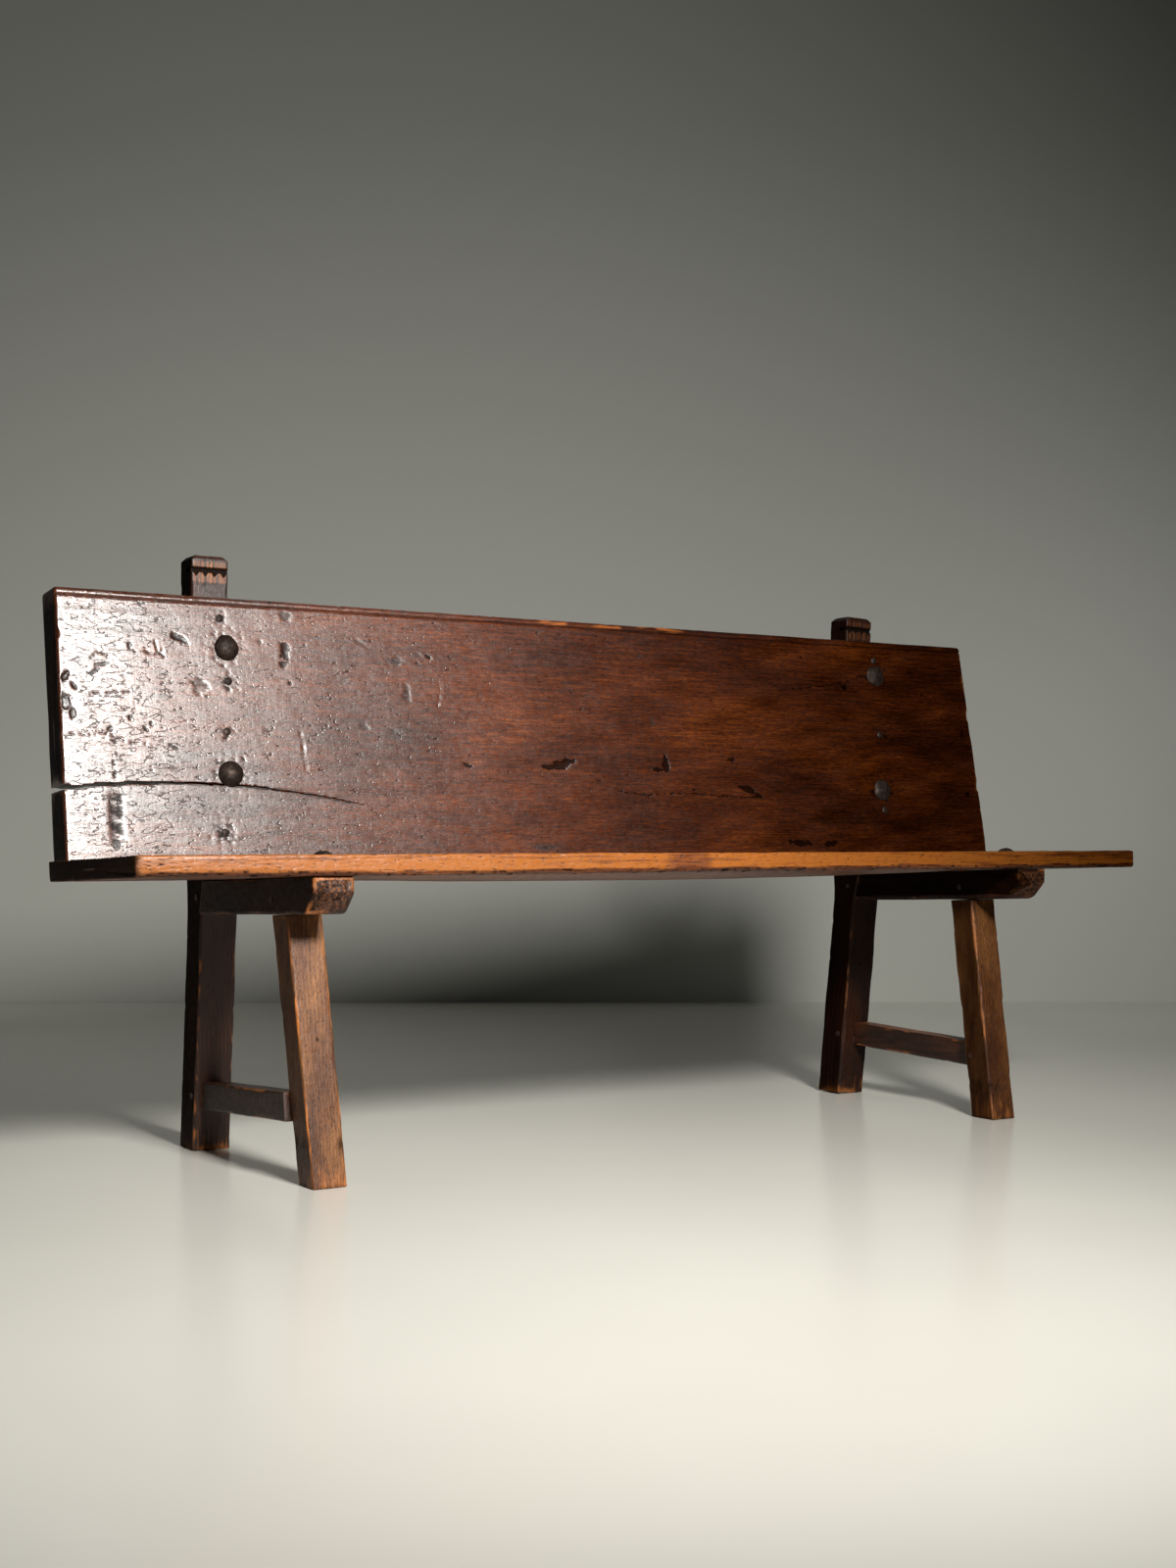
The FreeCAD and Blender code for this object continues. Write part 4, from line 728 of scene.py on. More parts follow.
def backRelief(info):
    # knocks are turned ovals q = (x / a)^2 + (y / b)^2, cracks exp(-(away / wide)^2) beside a broken line,
    # nail stains fall off with distance; all are cut into the front face only
    depth, wear, dirtAndShade = handWorn(info, 11, rough=0.0004, chip=0.0022, wearWide=0.004, wearBase=0.05)
    p = info["points"]
    x = p[..., 0]
    up = info["v"] + backSpec["high"] / 2
    front = info["facing"] == 3
    flat = np.stack([x.ravel(), up.ravel(), 0 * x.ravel()], axis=1)
    wobble = ripples(flat, 0.012, 5).reshape(x.shape)
    tiny = ripples(flat, 0.006, 6).reshape(x.shape)
    cut = np.zeros_like(x)
    gouge = np.zeros_like(x)
    for along, high, halfLong, halfHigh, deep, angle in backKnocks:
        ca, sa = math.cos(math.radians(angle)), math.sin(math.radians(angle))
        dx, dy = x - along, up - high
        q = ((dx * ca + dy * sa) / halfLong) ** 2 + ((-dx * sa + dy * ca) / halfHigh) ** 2
        q = np.sqrt(q) * (1 + 0.18 * np.clip(wobble, -2, 2))
        inside = (1 - q) * min(halfLong, halfHigh)
        cut = np.maximum(cut, 0.4 * deep * np.clip(inside / 0.003 + 0.2, 0, 1))
        if deep > 0.0011:
            gouge = np.maximum(gouge, np.clip(0.5 + inside / 0.004, 0, 1))
        else:
            dirtAndShade = np.maximum(dirtAndShade, 0.55 * np.clip(0.5 + inside / 0.006, 0, 1))
    for run, wide in backCracks:
        away = segmentGap(x, up + 0.0008 * wobble, run)
        cut = np.maximum(cut, 0.0011 * np.exp(-(away / wide) ** 2))
        gouge = np.maximum(gouge, np.clip(0.5 + (wide - away) / 0.004, 0, 1))
    for along, high, reach in backNails:
        away = np.hypot(x - along, up - high)
        stain = np.clip(1.15 - away / reach + 0.30 * wobble, 0, 1)
        dirtAndShade = np.maximum(dirtAndShade, stain * np.clip(0.60 + 0.35 * tiny, 0, 1))
        cut = cut + 0.0004 * np.clip(stain * (1 + tiny), 0, 1)
    # pecks, thick at the left end and round the left nails, thin elsewhere
    crowd = np.clip(np.exp(-((x + 0.78) / 0.12) ** 2) + 0.35 * np.exp(-((x + 0.5) / 0.15) ** 2), 0, 1)
    peck = ripples(flat, (0.012, 0.007, 1.0), 21).reshape(x.shape) - 2.85 + 0.35 * crowd
    cut = cut + 0.0005 * np.clip(peck + 0.3, 0, 1)
    gouge = np.maximum(gouge, np.clip(0.5 + 0.6 * peck, 0, 1))
    # the grain stands in soft waves where a plane has left it
    cut = cut + 0.00012 * (1 + ripples(flat, (0.5, 0.018, 1.0), 31).reshape(x.shape))
    # old scar low on the left: three ribbed, soiled dents one above the other, with an oval foot
    rib = 0.5 + 0.5 * np.sin(up / 0.0046 * 2 * np.pi)
    parts = np.exp(-((np.abs(up - 0.085) % 0.026 - 0.013) / 0.0115) ** 6)
    scar = np.exp(-((x + 0.8055) / 0.0105) ** 4) * np.exp(-((up - 0.088) / 0.038) ** 8)
    cut = cut + scar * (0.0006 + 0.0008 * rib)
    dirtAndShade = np.maximum(dirtAndShade, scar * (0.25 + 0.45 * parts + 0.15 * rib + 0.15 * wobble))
    ovalFoot = 1 - np.hypot((x + 0.8074) / 0.0065, (up - 0.048) / 0.0085)
    gouge = np.maximum(gouge, np.clip(0.5 + ovalFoot * 1.5, 0, 1))
    # darker along the foot of the board and beside the split
    foot = np.clip(0.75 - up / 0.022 + 0.22 * wobble, 0, 0.65)
    lip = arcThrough(*splitLine, 60)
    fromSplit = segmentGap(x, up, [tuple(q) for q in lip[::4]])
    dirtAndShade = np.maximum(dirtAndShade, np.exp(-(fromSplit / 0.003) ** 2))
    dirtAndShade = np.maximum(dirtAndShade, foot)
    # bead: a V scratched under the top edge, with painted shade laid in its groove
    bead = np.clip(1 - np.abs(up - backSpec["bead"]) / 0.0017, 0, 1)
    cut = cut + 0.0019 * bead
    dirtAndShade = np.maximum(dirtAndShade, 0.75 * bead)
    depth = depth + np.where(front, cut, 0)
    dirtAndShade = np.where(front, dirtAndShade, dirtAndShade * 0.3)
    gouge = np.where(front, gouge, 0)
    wear = wear * np.clip((x + 0.872) / 0.010, 0, 1)
    scuff = np.clip(crowd + 0.5 * np.exp(-((x + 0.3) / 0.12) ** 2) * np.clip(wobble, 0, 1), 0, 1)
    # painted shade: the left end grain is painted nearly black, for the shade on that end, turned from the lamp; the
    # top is dark but where it is rubbed to orange in the middle
    dirtAndShade = np.where(info["onEnd"] * (info["t"] < 0.5) > 0, 0.8, dirtAndShade)
    above = np.clip((up - 0.423) / 0.003, 0, 1)
    rub = np.exp(-((x - 0.09) / 0.15) ** 4)
    speck = np.clip(ripples(flat, (0.05, 0.01, 1.0), 41).reshape(x.shape), -0.5, 1.5)
    rubbed = np.clip(rub * above * (0.05 + 0.6 * speck), 0, 0.7)
    wear = np.where(info["onEnd"] == 0, np.maximum(wear * (1 - 0.8 * above), rubbed), 0)
    dirtAndShade = np.maximum(dirtAndShade, 0.30 * above * (1 - rub))
    # painted shade: darker, with duller gloss, towards the right of the plank, where less light falls; a slow cloud
    # runs through it
    cloud = 0.05 * ripples(flat, (0.12, 0.05, 1.0), 51).reshape(x.shape)
    paintedShade = np.clip(0.72 * np.clip((x + 0.20) / 0.95, 0, 1) ** 0.75 + cloud * np.clip((x + 0.5) / 0.4, 0, 1), 0, 0.8)
    return depth, {"wear": wear, "dirtAndShade": dirtAndShade, "gouge": gouge, "paintedShade": paintedShade, "scuff": scuff}


def backStations(b):
    # fine steps at the knocked left end, coarser ones to the right
    left = b["shift"] - b["long"] / 2
    start, rows = left, []
    for until, step in b["steps"]:
        rows.append(np.arange(start, until, step))
        start = rows[-1][-1] + step
    return (np.concatenate(rows) - left) / b["long"]


def beadRows(b):
    # even rows up the front face, with close ones at the bead
    rows = np.linspace(0.006, 0.988, 160)
    near = (b["bead"] + np.array([-0.0017, -0.0008, 0.0, 0.0008, 0.0017]) - 0.003) / (b["high"] - 0.010)
    rows = rows[np.min(np.abs(rows[:, None] - near[None, :]), axis=1) > 0.0035]
    return np.sort(np.concatenate([rows, near]))


def rearRows(b):
    # even rows down the rear face, with close ones where the split comes through
    near = 1 - (np.linspace(0.104, 0.158, 10) - 0.003) / (b["high"] - 0.010)
    rows = even(8)
    rows = rows[np.min(np.abs(rows[:, None] - near[None, :]), axis=1) > 0.02]
    return np.sort(np.concatenate([rows, near]))


def backRadii(t):
    # corner order: front top, rear top, rear foot, front foot
    b = backSpec
    return np.tile([b["topRound"], b["topRound"], 0.003, 0.003], (len(t), 1))


backBoard = timber(
    "backBoard", ["back_board"], backWood,
    {
        "stations": backStations(backSpec), "length": backSpec["long"], "endRound": backSpec["endRound"],
        "halfU": constant(backSpec["thick"] / 2), "halfV": constant(backSpec["high"] / 2), "radii": backRadii,
        "sides": [even(4), rearRows(backSpec), even(4), beadRows(backSpec)],
        "capRings": backSpec["capRings"], "slot": "back_wood",
    },
    backPlace, backRelief,
)


splitSpec = {
    "upper": ((-0.9065, 0.1305), (-0.6835, 0.1424), (-0.4035, 0.1102)),
    "lower": ((-0.9065, 0.1255), (-0.6835, 0.1396), (-0.4035, 0.1098)),
    "points": 70, "flare": 0.0030, "flareLong": 0.035, "rear": -0.006, "rearLift": 0.004, "front": 0.062,
}


def cutSplit(board):
    # the open split: a crescent between two arcs, driven through the plank and taken away
    g = splitSpec
    upper = arcThrough(*g["upper"], g["points"])
    lower = arcThrough(*g["lower"], g["points"])
    flare = g["flare"] * np.exp(-(upper[:, 0] - g["upper"][0][0]) / g["flareLong"])
    along = np.stack([upper[:, 0], upper[:, 0] * 0, upper[:, 1] * 0], axis=1)
    shake = 0.0006 * ripples(along, 0.05, 61) + 0.0004 * ripples(along, 0.016, 62)
    upper[:, 1] += shake + 0.0003 + flare
    lower[:, 1] += shake - flare
    loop = np.concatenate([upper, lower[::-1]])
    count = len(loop)
    rear = onBack(loop[:, 0], loop[:, 1] + g["rearLift"], np.full(count, g["rear"]))
    front = onBack(loop[:, 0], loop[:, 1], np.full(count, g["front"]))
    j = np.arange(count)
    k = (j + 1) % count
    walls = np.stack([j, k, k + count, j + count], axis=1).tolist()
    half = count // 2
    lids = []
    for i in range(half - 1):
        lids.append([i, i + 1, count - 2 - i, count - 1 - i][::-1])
        lids.append([i + count, i + 1 + count, 2 * count - 2 - i, 2 * count - 1 - i])
    place = np.vstack([rear, front])
    mesh = bpy.data.meshes.new("splitWaste")
    mesh.from_pydata(place.tolist(), [], outward(place, np.array(walls + lids)).tolist())
    waste = bpy.data.objects.new("splitWaste", mesh)
    bpy.context.scene.collection.objects.link(waste)
    tool = board.modifiers.new("split", "BOOLEAN")
    tool.operation = "DIFFERENCE"
    tool.solver = "EXACT"
    tool.object = waste
    view = bpy.context.evaluated_depsgraph_get()
    made = bpy.data.meshes.new_from_object(board.evaluated_get(view))
    board.modifiers.clear()
    board.data = made
    bpy.data.objects.remove(waste)
    print("split cut:", len(made.polygons), "faces")


cutSplit(backBoard)

# the seat board

seatSpec = {
    "long": 1.804, "shift": -0.0075, "front": -0.44623, "rear": -0.0687, "thick": 0.030, "endRound": 0.003,
    "rest": (0.1725, 0.4187), "bevel": 0.0035,
    "belly": {"deep": 0.011, "middle": 0.0145, "halfLong": 0.598, "halfWide": 0.1738},
    "frontBelly": {"deep": 0.0095, "middle": -0.12, "halfLong": 0.52},
}


def seatPlace(t, u, v):
    # drawn flat, then raked 1.85 degrees up to the front; the underside hangs in a shallow belly
    b = seatSpec
    s, c = slope(rake)
    middle = (b["front"] + b["rear"]) / 2
    x = b["shift"] + (t - 0.5) * b["long"]
    y = middle + u
    share = np.clip(0.5 - v / b["thick"], 0, 1)
    bow, lip = b["belly"], b["frontBelly"]
    alongBow = 1 - ((x - bow["middle"]) / bow["halfLong"]) ** 2
    acrossBow = 1 - (u / bow["halfWide"]) ** 2
    belly = np.clip(bow["deep"] * np.minimum(alongBow, acrossBow) - 0.001, 0, None)
    fullFront = np.clip((u + 0.176) / 0.04, 0, 1) * (u < 0)
    near = lip["deep"] * np.clip(1 - ((x - lip["middle"]) / lip["halfLong"]) ** 2, 0, 1) ** 0.7 * fullFront ** 0.6
    z = v + b["thick"] / 2 - share * np.maximum(belly, near)
    y = y + b["bevel"] * np.clip(u / 0.188, 0, 1) ** 8 * (v / b["thick"] + 0.5)
    restY, restZ = b["rest"]
    return np.stack([x, restY + y * c + z * s, restZ - y * s + z * c], axis=-1)


def seatRelief(info):
    # wear, dirt and bites are ripples in x, y and height, gated by face and by place along the plank; painted shade
    # lies on the ends, the lower wane and towards the right
    depth, wear, dirtAndShade = handWorn(info, 71, rough=0.0008, chip=0.0020, wearWide=0.006, wearBase=0.6)
    p = info["points"]
    x = p[..., 0]
    flat = np.stack([x.ravel(), p[..., 1].ravel(), info["v"].ravel() * 2], axis=1)
    long = ripples(flat, (0.30, 0.05, 0.02), 73).reshape(x.shape)
    short = ripples(flat, (0.05, 0.02, 0.008), 74).reshape(x.shape)
    tiny = ripples(flat, (0.012, 0.010, 0.006), 75).reshape(x.shape)
    front = (info["facing"] == 1) | ((info["facing"] == -1) & (info["u"] < 0))
    top = info["facing"] == 0
    # the front edge is bare honey-coloured wood in the middle, browner to the right
    bare = np.clip(0.85 - 0.35 * np.clip((x - 0.25) / 0.6, 0, 1) + 0.16 * long + 0.16 * short, 0, 1)
    brown = np.exp(-((x + 0.052) / 0.042) ** 6)
    bare = bare * (1 - 0.7 * brown)
    wear = np.where(front, np.maximum(wear, bare), wear)
    # painted shade on the lowest millimetres of the front edge, the wane, which lies in shade: its pale wear is taken
    # off and it is darkened
    low = np.clip((-info["v"] - 0.0070 - 0.0006 * short) / 0.0022, 0, 1) * front
    wear = wear * (1 - 0.85 * low)
    knotty = np.exp(-((x + 0.872) / 0.022) ** 2)
    grimeAndShade = dirtAndShade + 0.6 * np.clip(tiny - 0.8, 0, 1) + 0.25 * low + 0.45 * knotty * np.clip(0.5 + short, 0, 1)
    dirtAndShade = np.where(front, grimeAndShade, dirtAndShade)
    # top: rubbed pale along the front, darker towards the rear, under the back board
    rear = np.clip((info["u"] - 0.12) / 0.06, 0, 1)
    rubbed = np.clip(0.45 - 0.5 * (info["u"] + 0.18) / 0.2 + 0.18 * short, 0, 0.6)
    wear = np.where(top, np.maximum(wear, rubbed * (1 - rear)), wear)
    dirtAndShade = np.where(top, np.maximum(dirtAndShade, 0.6 * rear), dirtAndShade)
    # knocks in the top and small bites out of the front arris
    depth = depth + np.where(top, 0.0011 * np.clip(tiny - 1.5, 0, 1), 0)
    bite = np.clip(short * 0.5 + tiny * 0.5 - 0.75, 0, 1)
    arris = np.exp(-(info["gap"] / 0.006) ** 2) * front
    depth = depth + 0.0024 * bite * arris
    # painted shade: the left end, and both end faces less, are darkened for the shade on end faces turned from the
    # lamp; the lower arris near the left end is split away
    leftEndShade = np.exp(-((x + 0.9095) / 0.010) ** 2)
    dirtAndShade = np.maximum(dirtAndShade, 0.75 * leftEndShade + 0.6 * info["onEnd"])
    worn = np.exp(-((x + 0.86) / 0.06) ** 2) * np.clip(-info["v"] / 0.015, 0, 1) * front
    depth = depth + 0.0035 * worn * (0.7 + 0.3 * np.clip(short, -1, 1))
    # painted shade: darker towards the right, where less light falls, and on the lower wane, which lies in shade
    paintedShade = np.maximum(0.74 * np.clip((x - 0.05) / 0.8, 0, 1) ** 0.9, 0.35 * low)
    return depth, {"wear": np.clip(wear, 0, 1), "dirtAndShade": np.clip(dirtAndShade, 0, 1), "paintedShade": paintedShade}


def seatRadii(t):
    # corner order: rear top, front top, front foot, rear foot; the front foot is worn most
    x = (t - 0.5) * seatSpec["long"]
    wave = 0.0016 * np.sin(x * 17.0 + 0.6) + 0.001 * np.sin(x * 41.0)
    foot = 0.0068 + wave + 0.003 * np.exp(-((x + 0.8) / 0.12) ** 2)
    ones = np.ones(len(t))
    return np.stack([0.002 * ones, 0.0032 + 0.4 * wave, foot, 0.002 * ones], axis=1)


timber(
    "seatBoard", ["seat_board"], seatWood,
    {
        "stations": np.linspace(0, 1, 520), "length": seatSpec["long"], "endRound": seatSpec["endRound"],
        "halfU": constant((seatSpec["rear"] - seatSpec["front"]) / 2), "halfV": constant(seatSpec["thick"] / 2),
        "radii": seatRadii, "sides": [even(90), even(14), even(40), even(6)], "capRings": 5, "slot": "seat_wood",
    },
    seatPlace, seatRelief,
)

# the two end frames

# the last entry of each frame is painted shade: the right frame is darkened for the light that falls off towards the
# right
frames = {
    "left": {
        "station": -0.6295, "stile": -0.6255, "top": 0.927, "wind": 0.4,
        "legShift": 0.007, "legLean": 0.014, "chamfer": 0.005,
        "bar": (0.107, 0.128), "barShift": 0.0, "seed": 100, "paintedShade": 0.0,
    },
    "right": {
        "station": 0.6585, "stile": 0.6620, "top": 0.908, "wind": 2.6,
        "legShift": -0.003, "legLean": -0.005, "chamfer": 0.009,
        "bar": (0.135, 0.127), "barShift": 0.003, "seed": 200, "paintedShade": 0.40,
    },
}
frameSpec = {
    "railTop": 0.4185, "railHigh": 0.0515, "railWide": 0.062, "face": 0.1725,
    "railLong": 0.437, "noseStraight": 0.022, "noseUnder": 0.029,
    "legFront": -0.1455, "legSplay": 0.060, "legTop": 0.38727, "stileWide": 0.060, "capRound": 0.009,
    "barHigh": 0.042, "barWide": 0.037, "gap": 0.0002, "capSide": 0.008, "restFace": 0.1585, "kneeLead": 0.014,
    "stileRake": 0.027, "railFoot": 0.367, "legHalfDeep": 0.0275, "legFootRear": -0.1505,
}
# the stile's front and rear faces: (height, depth) where each line bends
stileBends = {
    "front": [(0.0, 0.1995), (0.367, 0.1725), (0.4185, 0.1585), (0.84773, 0.22265), (1.0, 0.22265)],
    "rear": [(0.0, 0.2615), (0.367, 0.2345), (0.84773, 0.27265), (1.0, 0.27265)],
}


def stileLine(z):
    # front and rear faces of the stile at a height: raked foot, knee at the rail, leaning rest, upright head
    return [np.interp(z, *zip(*stileBends[face])) for face in ("front", "rear")]


def railPlane(y):
    # height of the rail's top face at a station along Y
    return frameSpec["railTop"] + (frameSpec["face"] - y) * math.tan(math.radians(rake))


headSpec = {
    "grooveDown": 0.020, "grooveHigh": 0.007, "grooveDeep": 0.0045, "grooveRun": 0.0038, "edge": 0.001,
    "chipDown": 0.0065, "chipPitch": 0.015, "chipHigh": 0.0085, "chipDeep": 0.0032,
}


def headCut(x, z, top):
    # depth cut from the head's front: a slanted groove and, under it, a row of four V chips
    g = headSpec
    down = top - g["grooveDown"] - z
    slant = np.clip(g["grooveDeep"] * (down + g["edge"]) / g["grooveRun"], 0, g["grooveDeep"])
    groove = np.where((down > -g["edge"]) & (down < g["grooveHigh"]), slant, 0)
    pitch = g["chipPitch"]
    low = down - g["chipDown"]
    fromMiddle = np.abs((x + 0.030) % pitch - pitch / 2)
    wide = 0.42 * pitch * (1 - low / g["chipHigh"])
    inRow = (low > -g["edge"]) & (low < g["chipHigh"])
    chip = np.where(inRow, np.clip((wide - fromMiddle) * 1.1, 0, g["chipDeep"]), 0)
    return np.maximum(groove, chip)


def buildStile(side, f):
    # level rings from floor to head, closer together at the knee and in the carved head
    top = f["top"]
    low = np.linspace(0, 0.36, 62)
    knee = np.linspace(0.365, 0.425, 16)
    rise = np.linspace(0.432, top - 0.046, 72)
    crown = np.arange(top - 0.045, top + 0.0001, 0.0009)
    stations = np.concatenate([low, knee, rise, crown]) / top

    def halfDeep(t):
        # half the gap between the faces, less a quarter round of capRound at the top
        front, rear = stileLine(t * top)
        fromTop = np.clip(frameSpec["capRound"] - (1 - t) * top, 0, frameSpec["capRound"])
        cap = frameSpec["capRound"] - np.sqrt(frameSpec["capRound"] ** 2 - fromTop ** 2)
        return (rear - front) / 2 - cap

    def halfWide(t):
        # half the width, less a 45 degree chamfer at the top
        fromTop = np.clip(frameSpec["capSide"] - (1 - t) * top, 0, frameSpec["capSide"])
        return frameSpec["stileWide"] / 2 - fromTop

    def radii(t):
        # corner radii: a worn value with slow sine waves along the length
        wave = 0.0008 * np.sin(t * 23 + f["seed"]) + 0.0006 * np.sin(t * 61)
        head = np.clip((t * top - top + 0.05) / 0.01, 0, 1)
        worn = (0.0034 + wave) * (1 - head) + 0.0022 * head
        return np.stack([worn, worn * 0.9, worn * 1.2, worn * 1.1], axis=1)

    def stilePlace(t, u, v):
        # depth lies between the two face lines; width and height turn by the wind about the rail's top
        z = t * top
        front, rear = stileLine(z)
        y = (front + rear) / 2 + v
        y = np.maximum(y, front + headCut(u, z, top))
        turn = math.radians(f["wind"])
        high = z - frameSpec["railTop"]
        x = f["stile"] + u * math.cos(turn) + high * math.sin(turn)
        level = frameSpec["railTop"] - u * math.sin(turn) + high * math.cos(turn)
        return np.stack([x, y, np.maximum(level, 0.0)], axis=-1)

    def stileRelief(info):
        # hand wear, less of it in the head; darker in the carving, the deeper the cut the darker, and grime at the foot
        depth, wear, dirtAndShade = handWorn(info, f["seed"] + 1, rough=0.0005, chip=0.0015, wearWide=0.003, wearBase=-0.05)
        z = info["t"] * top
        inHead = np.clip((z - top + 0.046) / 0.004, 0, 1)
        depth = depth * (1 - 0.75 * inHead)
        cutHere = headCut(info["u"], z, top) * (info["v"] < 0)
        dirtAndShade = np.maximum(dirtAndShade, np.clip(cutHere / 0.003, 0, 0.85))
        foot = np.clip(1 - z / 0.035, 0, 1)
        wear = wear + 0.25 * foot
        face = inHead * (info["facing"] == 2) * (cutHere < 0.001) * (z < top - 0.010)
        wear = np.maximum(wear * (1 - 0.8 * inHead), 0.30 * face * (1 - f["paintedShade"]))
        dirtAndShade = np.maximum(dirtAndShade, 0.35 * np.clip(1 - z / 0.012, 0, 1))
        # painted shade: the left face, turned from the lamp, is darkened; the rest takes the frame's painted shade
        paintedShade = np.where(info["facing"] == 1, 0.7, f["paintedShade"])
        return depth, {"wear": np.clip(wear, 0, 1), "dirtAndShade": np.clip(dirtAndShade, 0, 1), "paintedShade": paintedShade}

    timber(
        "stile" + side.capitalize(), ["rear_stile_" + side], postWood,
        {
            "stations": stations, "length": top, "endRound": 0.0022, "halfU": halfWide,
            "halfV": halfDeep, "radii": radii,
            "sides": [crispRow(9, 0.055), crispRow(11, 0.05), even(50), crispRow(11, 0.05)],
            "capRings": 6, "slot": "frame_wood",
        },
        stilePlace, stileRelief,
    )


def buildRail(side, f):
    # rings along Y under the seat
    g = frameSpec

    def railPlace(t, u, v):
        # shares along Y between the undercut nose and the shoulder on the bent stile
        up = v / g["railHigh"] + 0.5
        under = np.clip(((1 - up) * g["railHigh"] - g["noseStraight"]) / (g["railHigh"] - g["noseStraight"]), 0, 1)
        nose = g["face"] - g["railLong"] + g["noseUnder"] * (under ** 2 / (under + 0.12)) * 1.12
        shoulder = g["restFace"] - g["gap"] + g["kneeLead"] * (1 - up)
        y = nose + (shoulder - nose) * t
        return np.stack([f["station"] + u, y, railPlane(y) - g["railHigh"] * (1 - up)], axis=-1)

    def radii(t):
        # corner radii: a worn value with slow sine waves along the length
        wave = 0.0007 * np.sin(t * 19 + f["seed"])
        low = f["chamfer"] * 0.9 + wave
        ones = np.ones(len(t)) * 0.0018
        return np.stack([ones, ones, low, low], axis=1)

    def railRelief(info):
        # hand wear; the nose is rough end grain, darker towards the underside
        depth, wear, dirtAndShade = handWorn(info, f["seed"] + 21, rough=0.0005, chip=0.0016, wearWide=0.003, wearBase=0.0)
        nose = info["onEnd"] * (info["t"] < 0.5)
        p = info["points"].reshape(-1, 3)
        hewn = np.clip(ripples(p, 0.012, f["seed"] + 25), 0, 2).reshape(nose.shape)
        depth = depth + 0.0012 * nose * hewn
        grit = ripples(p, 0.006, f["seed"] + 26).reshape(nose.shape)
        wear = np.maximum(wear, nose * 0.2)
        dirtAndShade = np.maximum(dirtAndShade, nose * np.clip(0.35 + 0.2 * grit, 0, 1))
        under = np.clip(-info["v"] / 0.0257, 0, 1)
        dirtAndShade = np.maximum(dirtAndShade, 0.3 * under * (1 - nose))
        # painted shade: the rail's faces but its nose a little darker, for the shade under the seat; its left face,
        # turned from the lamp, darker still; the right frame darker as a whole
        paintedShade = f["paintedShade"] + 0.15 * (1 - nose) + 0.3 * (info["facing"] == 1)
        return depth, {"wear": np.clip(wear, 0, 1), "dirtAndShade": np.clip(dirtAndShade, 0, 1), "paintedShade": paintedShade}

    timber(
        "rail" + side.capitalize(), ["seat_rail_" + side], railWood,
        {
            "stations": np.linspace(0, 1, 130), "length": 0.42, "endRound": 0.004, "halfU": constant(g["railWide"] / 2),
            "halfV": constant(g["railHigh"] / 2), "radii": radii,
            "sides": [crispRow(8, 0.047), crispRow(10, 0.058)] * 2,
            "capRings": 12, "slot": "frame_wood",
        },
        railPlace, railRelief,
    )


def buildLeg(side, f):
    # rings from floor to rail, splayed forward and leaning sideways in proportion to depth below the rail
    g = frameSpec

    def legPlace(t, u, v):
        # level sections sheared so that the last one lies on the raked rail; the leg splays and leans
        z = t * 0.376  # a first guess, settled in three rounds
        for _ in range(3):
            share = z / g["legTop"]
            y = g["legFront"] - g["legSplay"] * (1 - share) + g["legHalfDeep"] + v
            z = t * (railPlane(y) - g["railHigh"] - g["gap"])
        share = z / g["legTop"]
        x = f["station"] + f["legShift"] + f["legLean"] * (1 - share) + u
        return np.stack([x, y, z], axis=-1)

    def radii(t):
        # corner radii: a worn value with slow sine waves along the length
        wave = 0.0009 * np.sin(t * 17 + f["seed"]) + 0.0006 * np.sin(t * 43)
        worn = 0.0042 + wave
        return np.stack([worn, worn, worn, worn * 0.9], axis=1)

    def legRelief(info):
        # hand wear, rubbed paler towards the foot, with stains run down the grain
        depth, wear, dirtAndShade = handWorn(info, f["seed"] + 41, rough=0.0005, chip=0.0014, wearWide=0.0022, wearBase=0.45)
        z = info["points"][..., 2]
        p = info["points"].reshape(-1, 3)
        drip = ripples(p, (0.02, 0.02, 0.10), f["seed"] + 44).reshape(z.shape)
        wear = np.maximum(wear, np.clip(0.55 - z / 0.08, 0, 0.45) * np.clip(0.7 + 0.3 * drip, 0, 1))
        stain = np.clip(0.5 - np.abs(z - 0.06) / 0.07, 0, 0.5) * np.clip(0.5 + 0.5 * drip, 0, 1.2)
        dirtAndShade = np.maximum(dirtAndShade, stain)
        dirtAndShade = np.maximum(dirtAndShade, 0.5 * np.clip(1 - z / 0.010, 0, 1))
        # painted shade: the left face, turned from the lamp, is darkened, and the right frame as a whole
        paintedShade = np.clip(f["paintedShade"] + 0.25 * (info["facing"] == 1), 0, 0.7)
        return depth, {"wear": np.clip(wear, 0, 1), "dirtAndShade": np.clip(dirtAndShade, 0, 1), "paintedShade": paintedShade}

    timber(
        "leg" + side.capitalize(), ["front_leg_" + side], legWood,
        {
            "stations": np.linspace(0, 1, 120), "length": 0.38, "endRound": 0.002,
            "halfU": lambda t: 0.026 + 0.0015 * t, "halfV": constant(g["legHalfDeep"]), "radii": radii,
            "sides": [crispRow(9, 0.047)] * 4, "capRings": 5, "slot": "frame_wood",
        },
        legPlace, legRelief,
    )


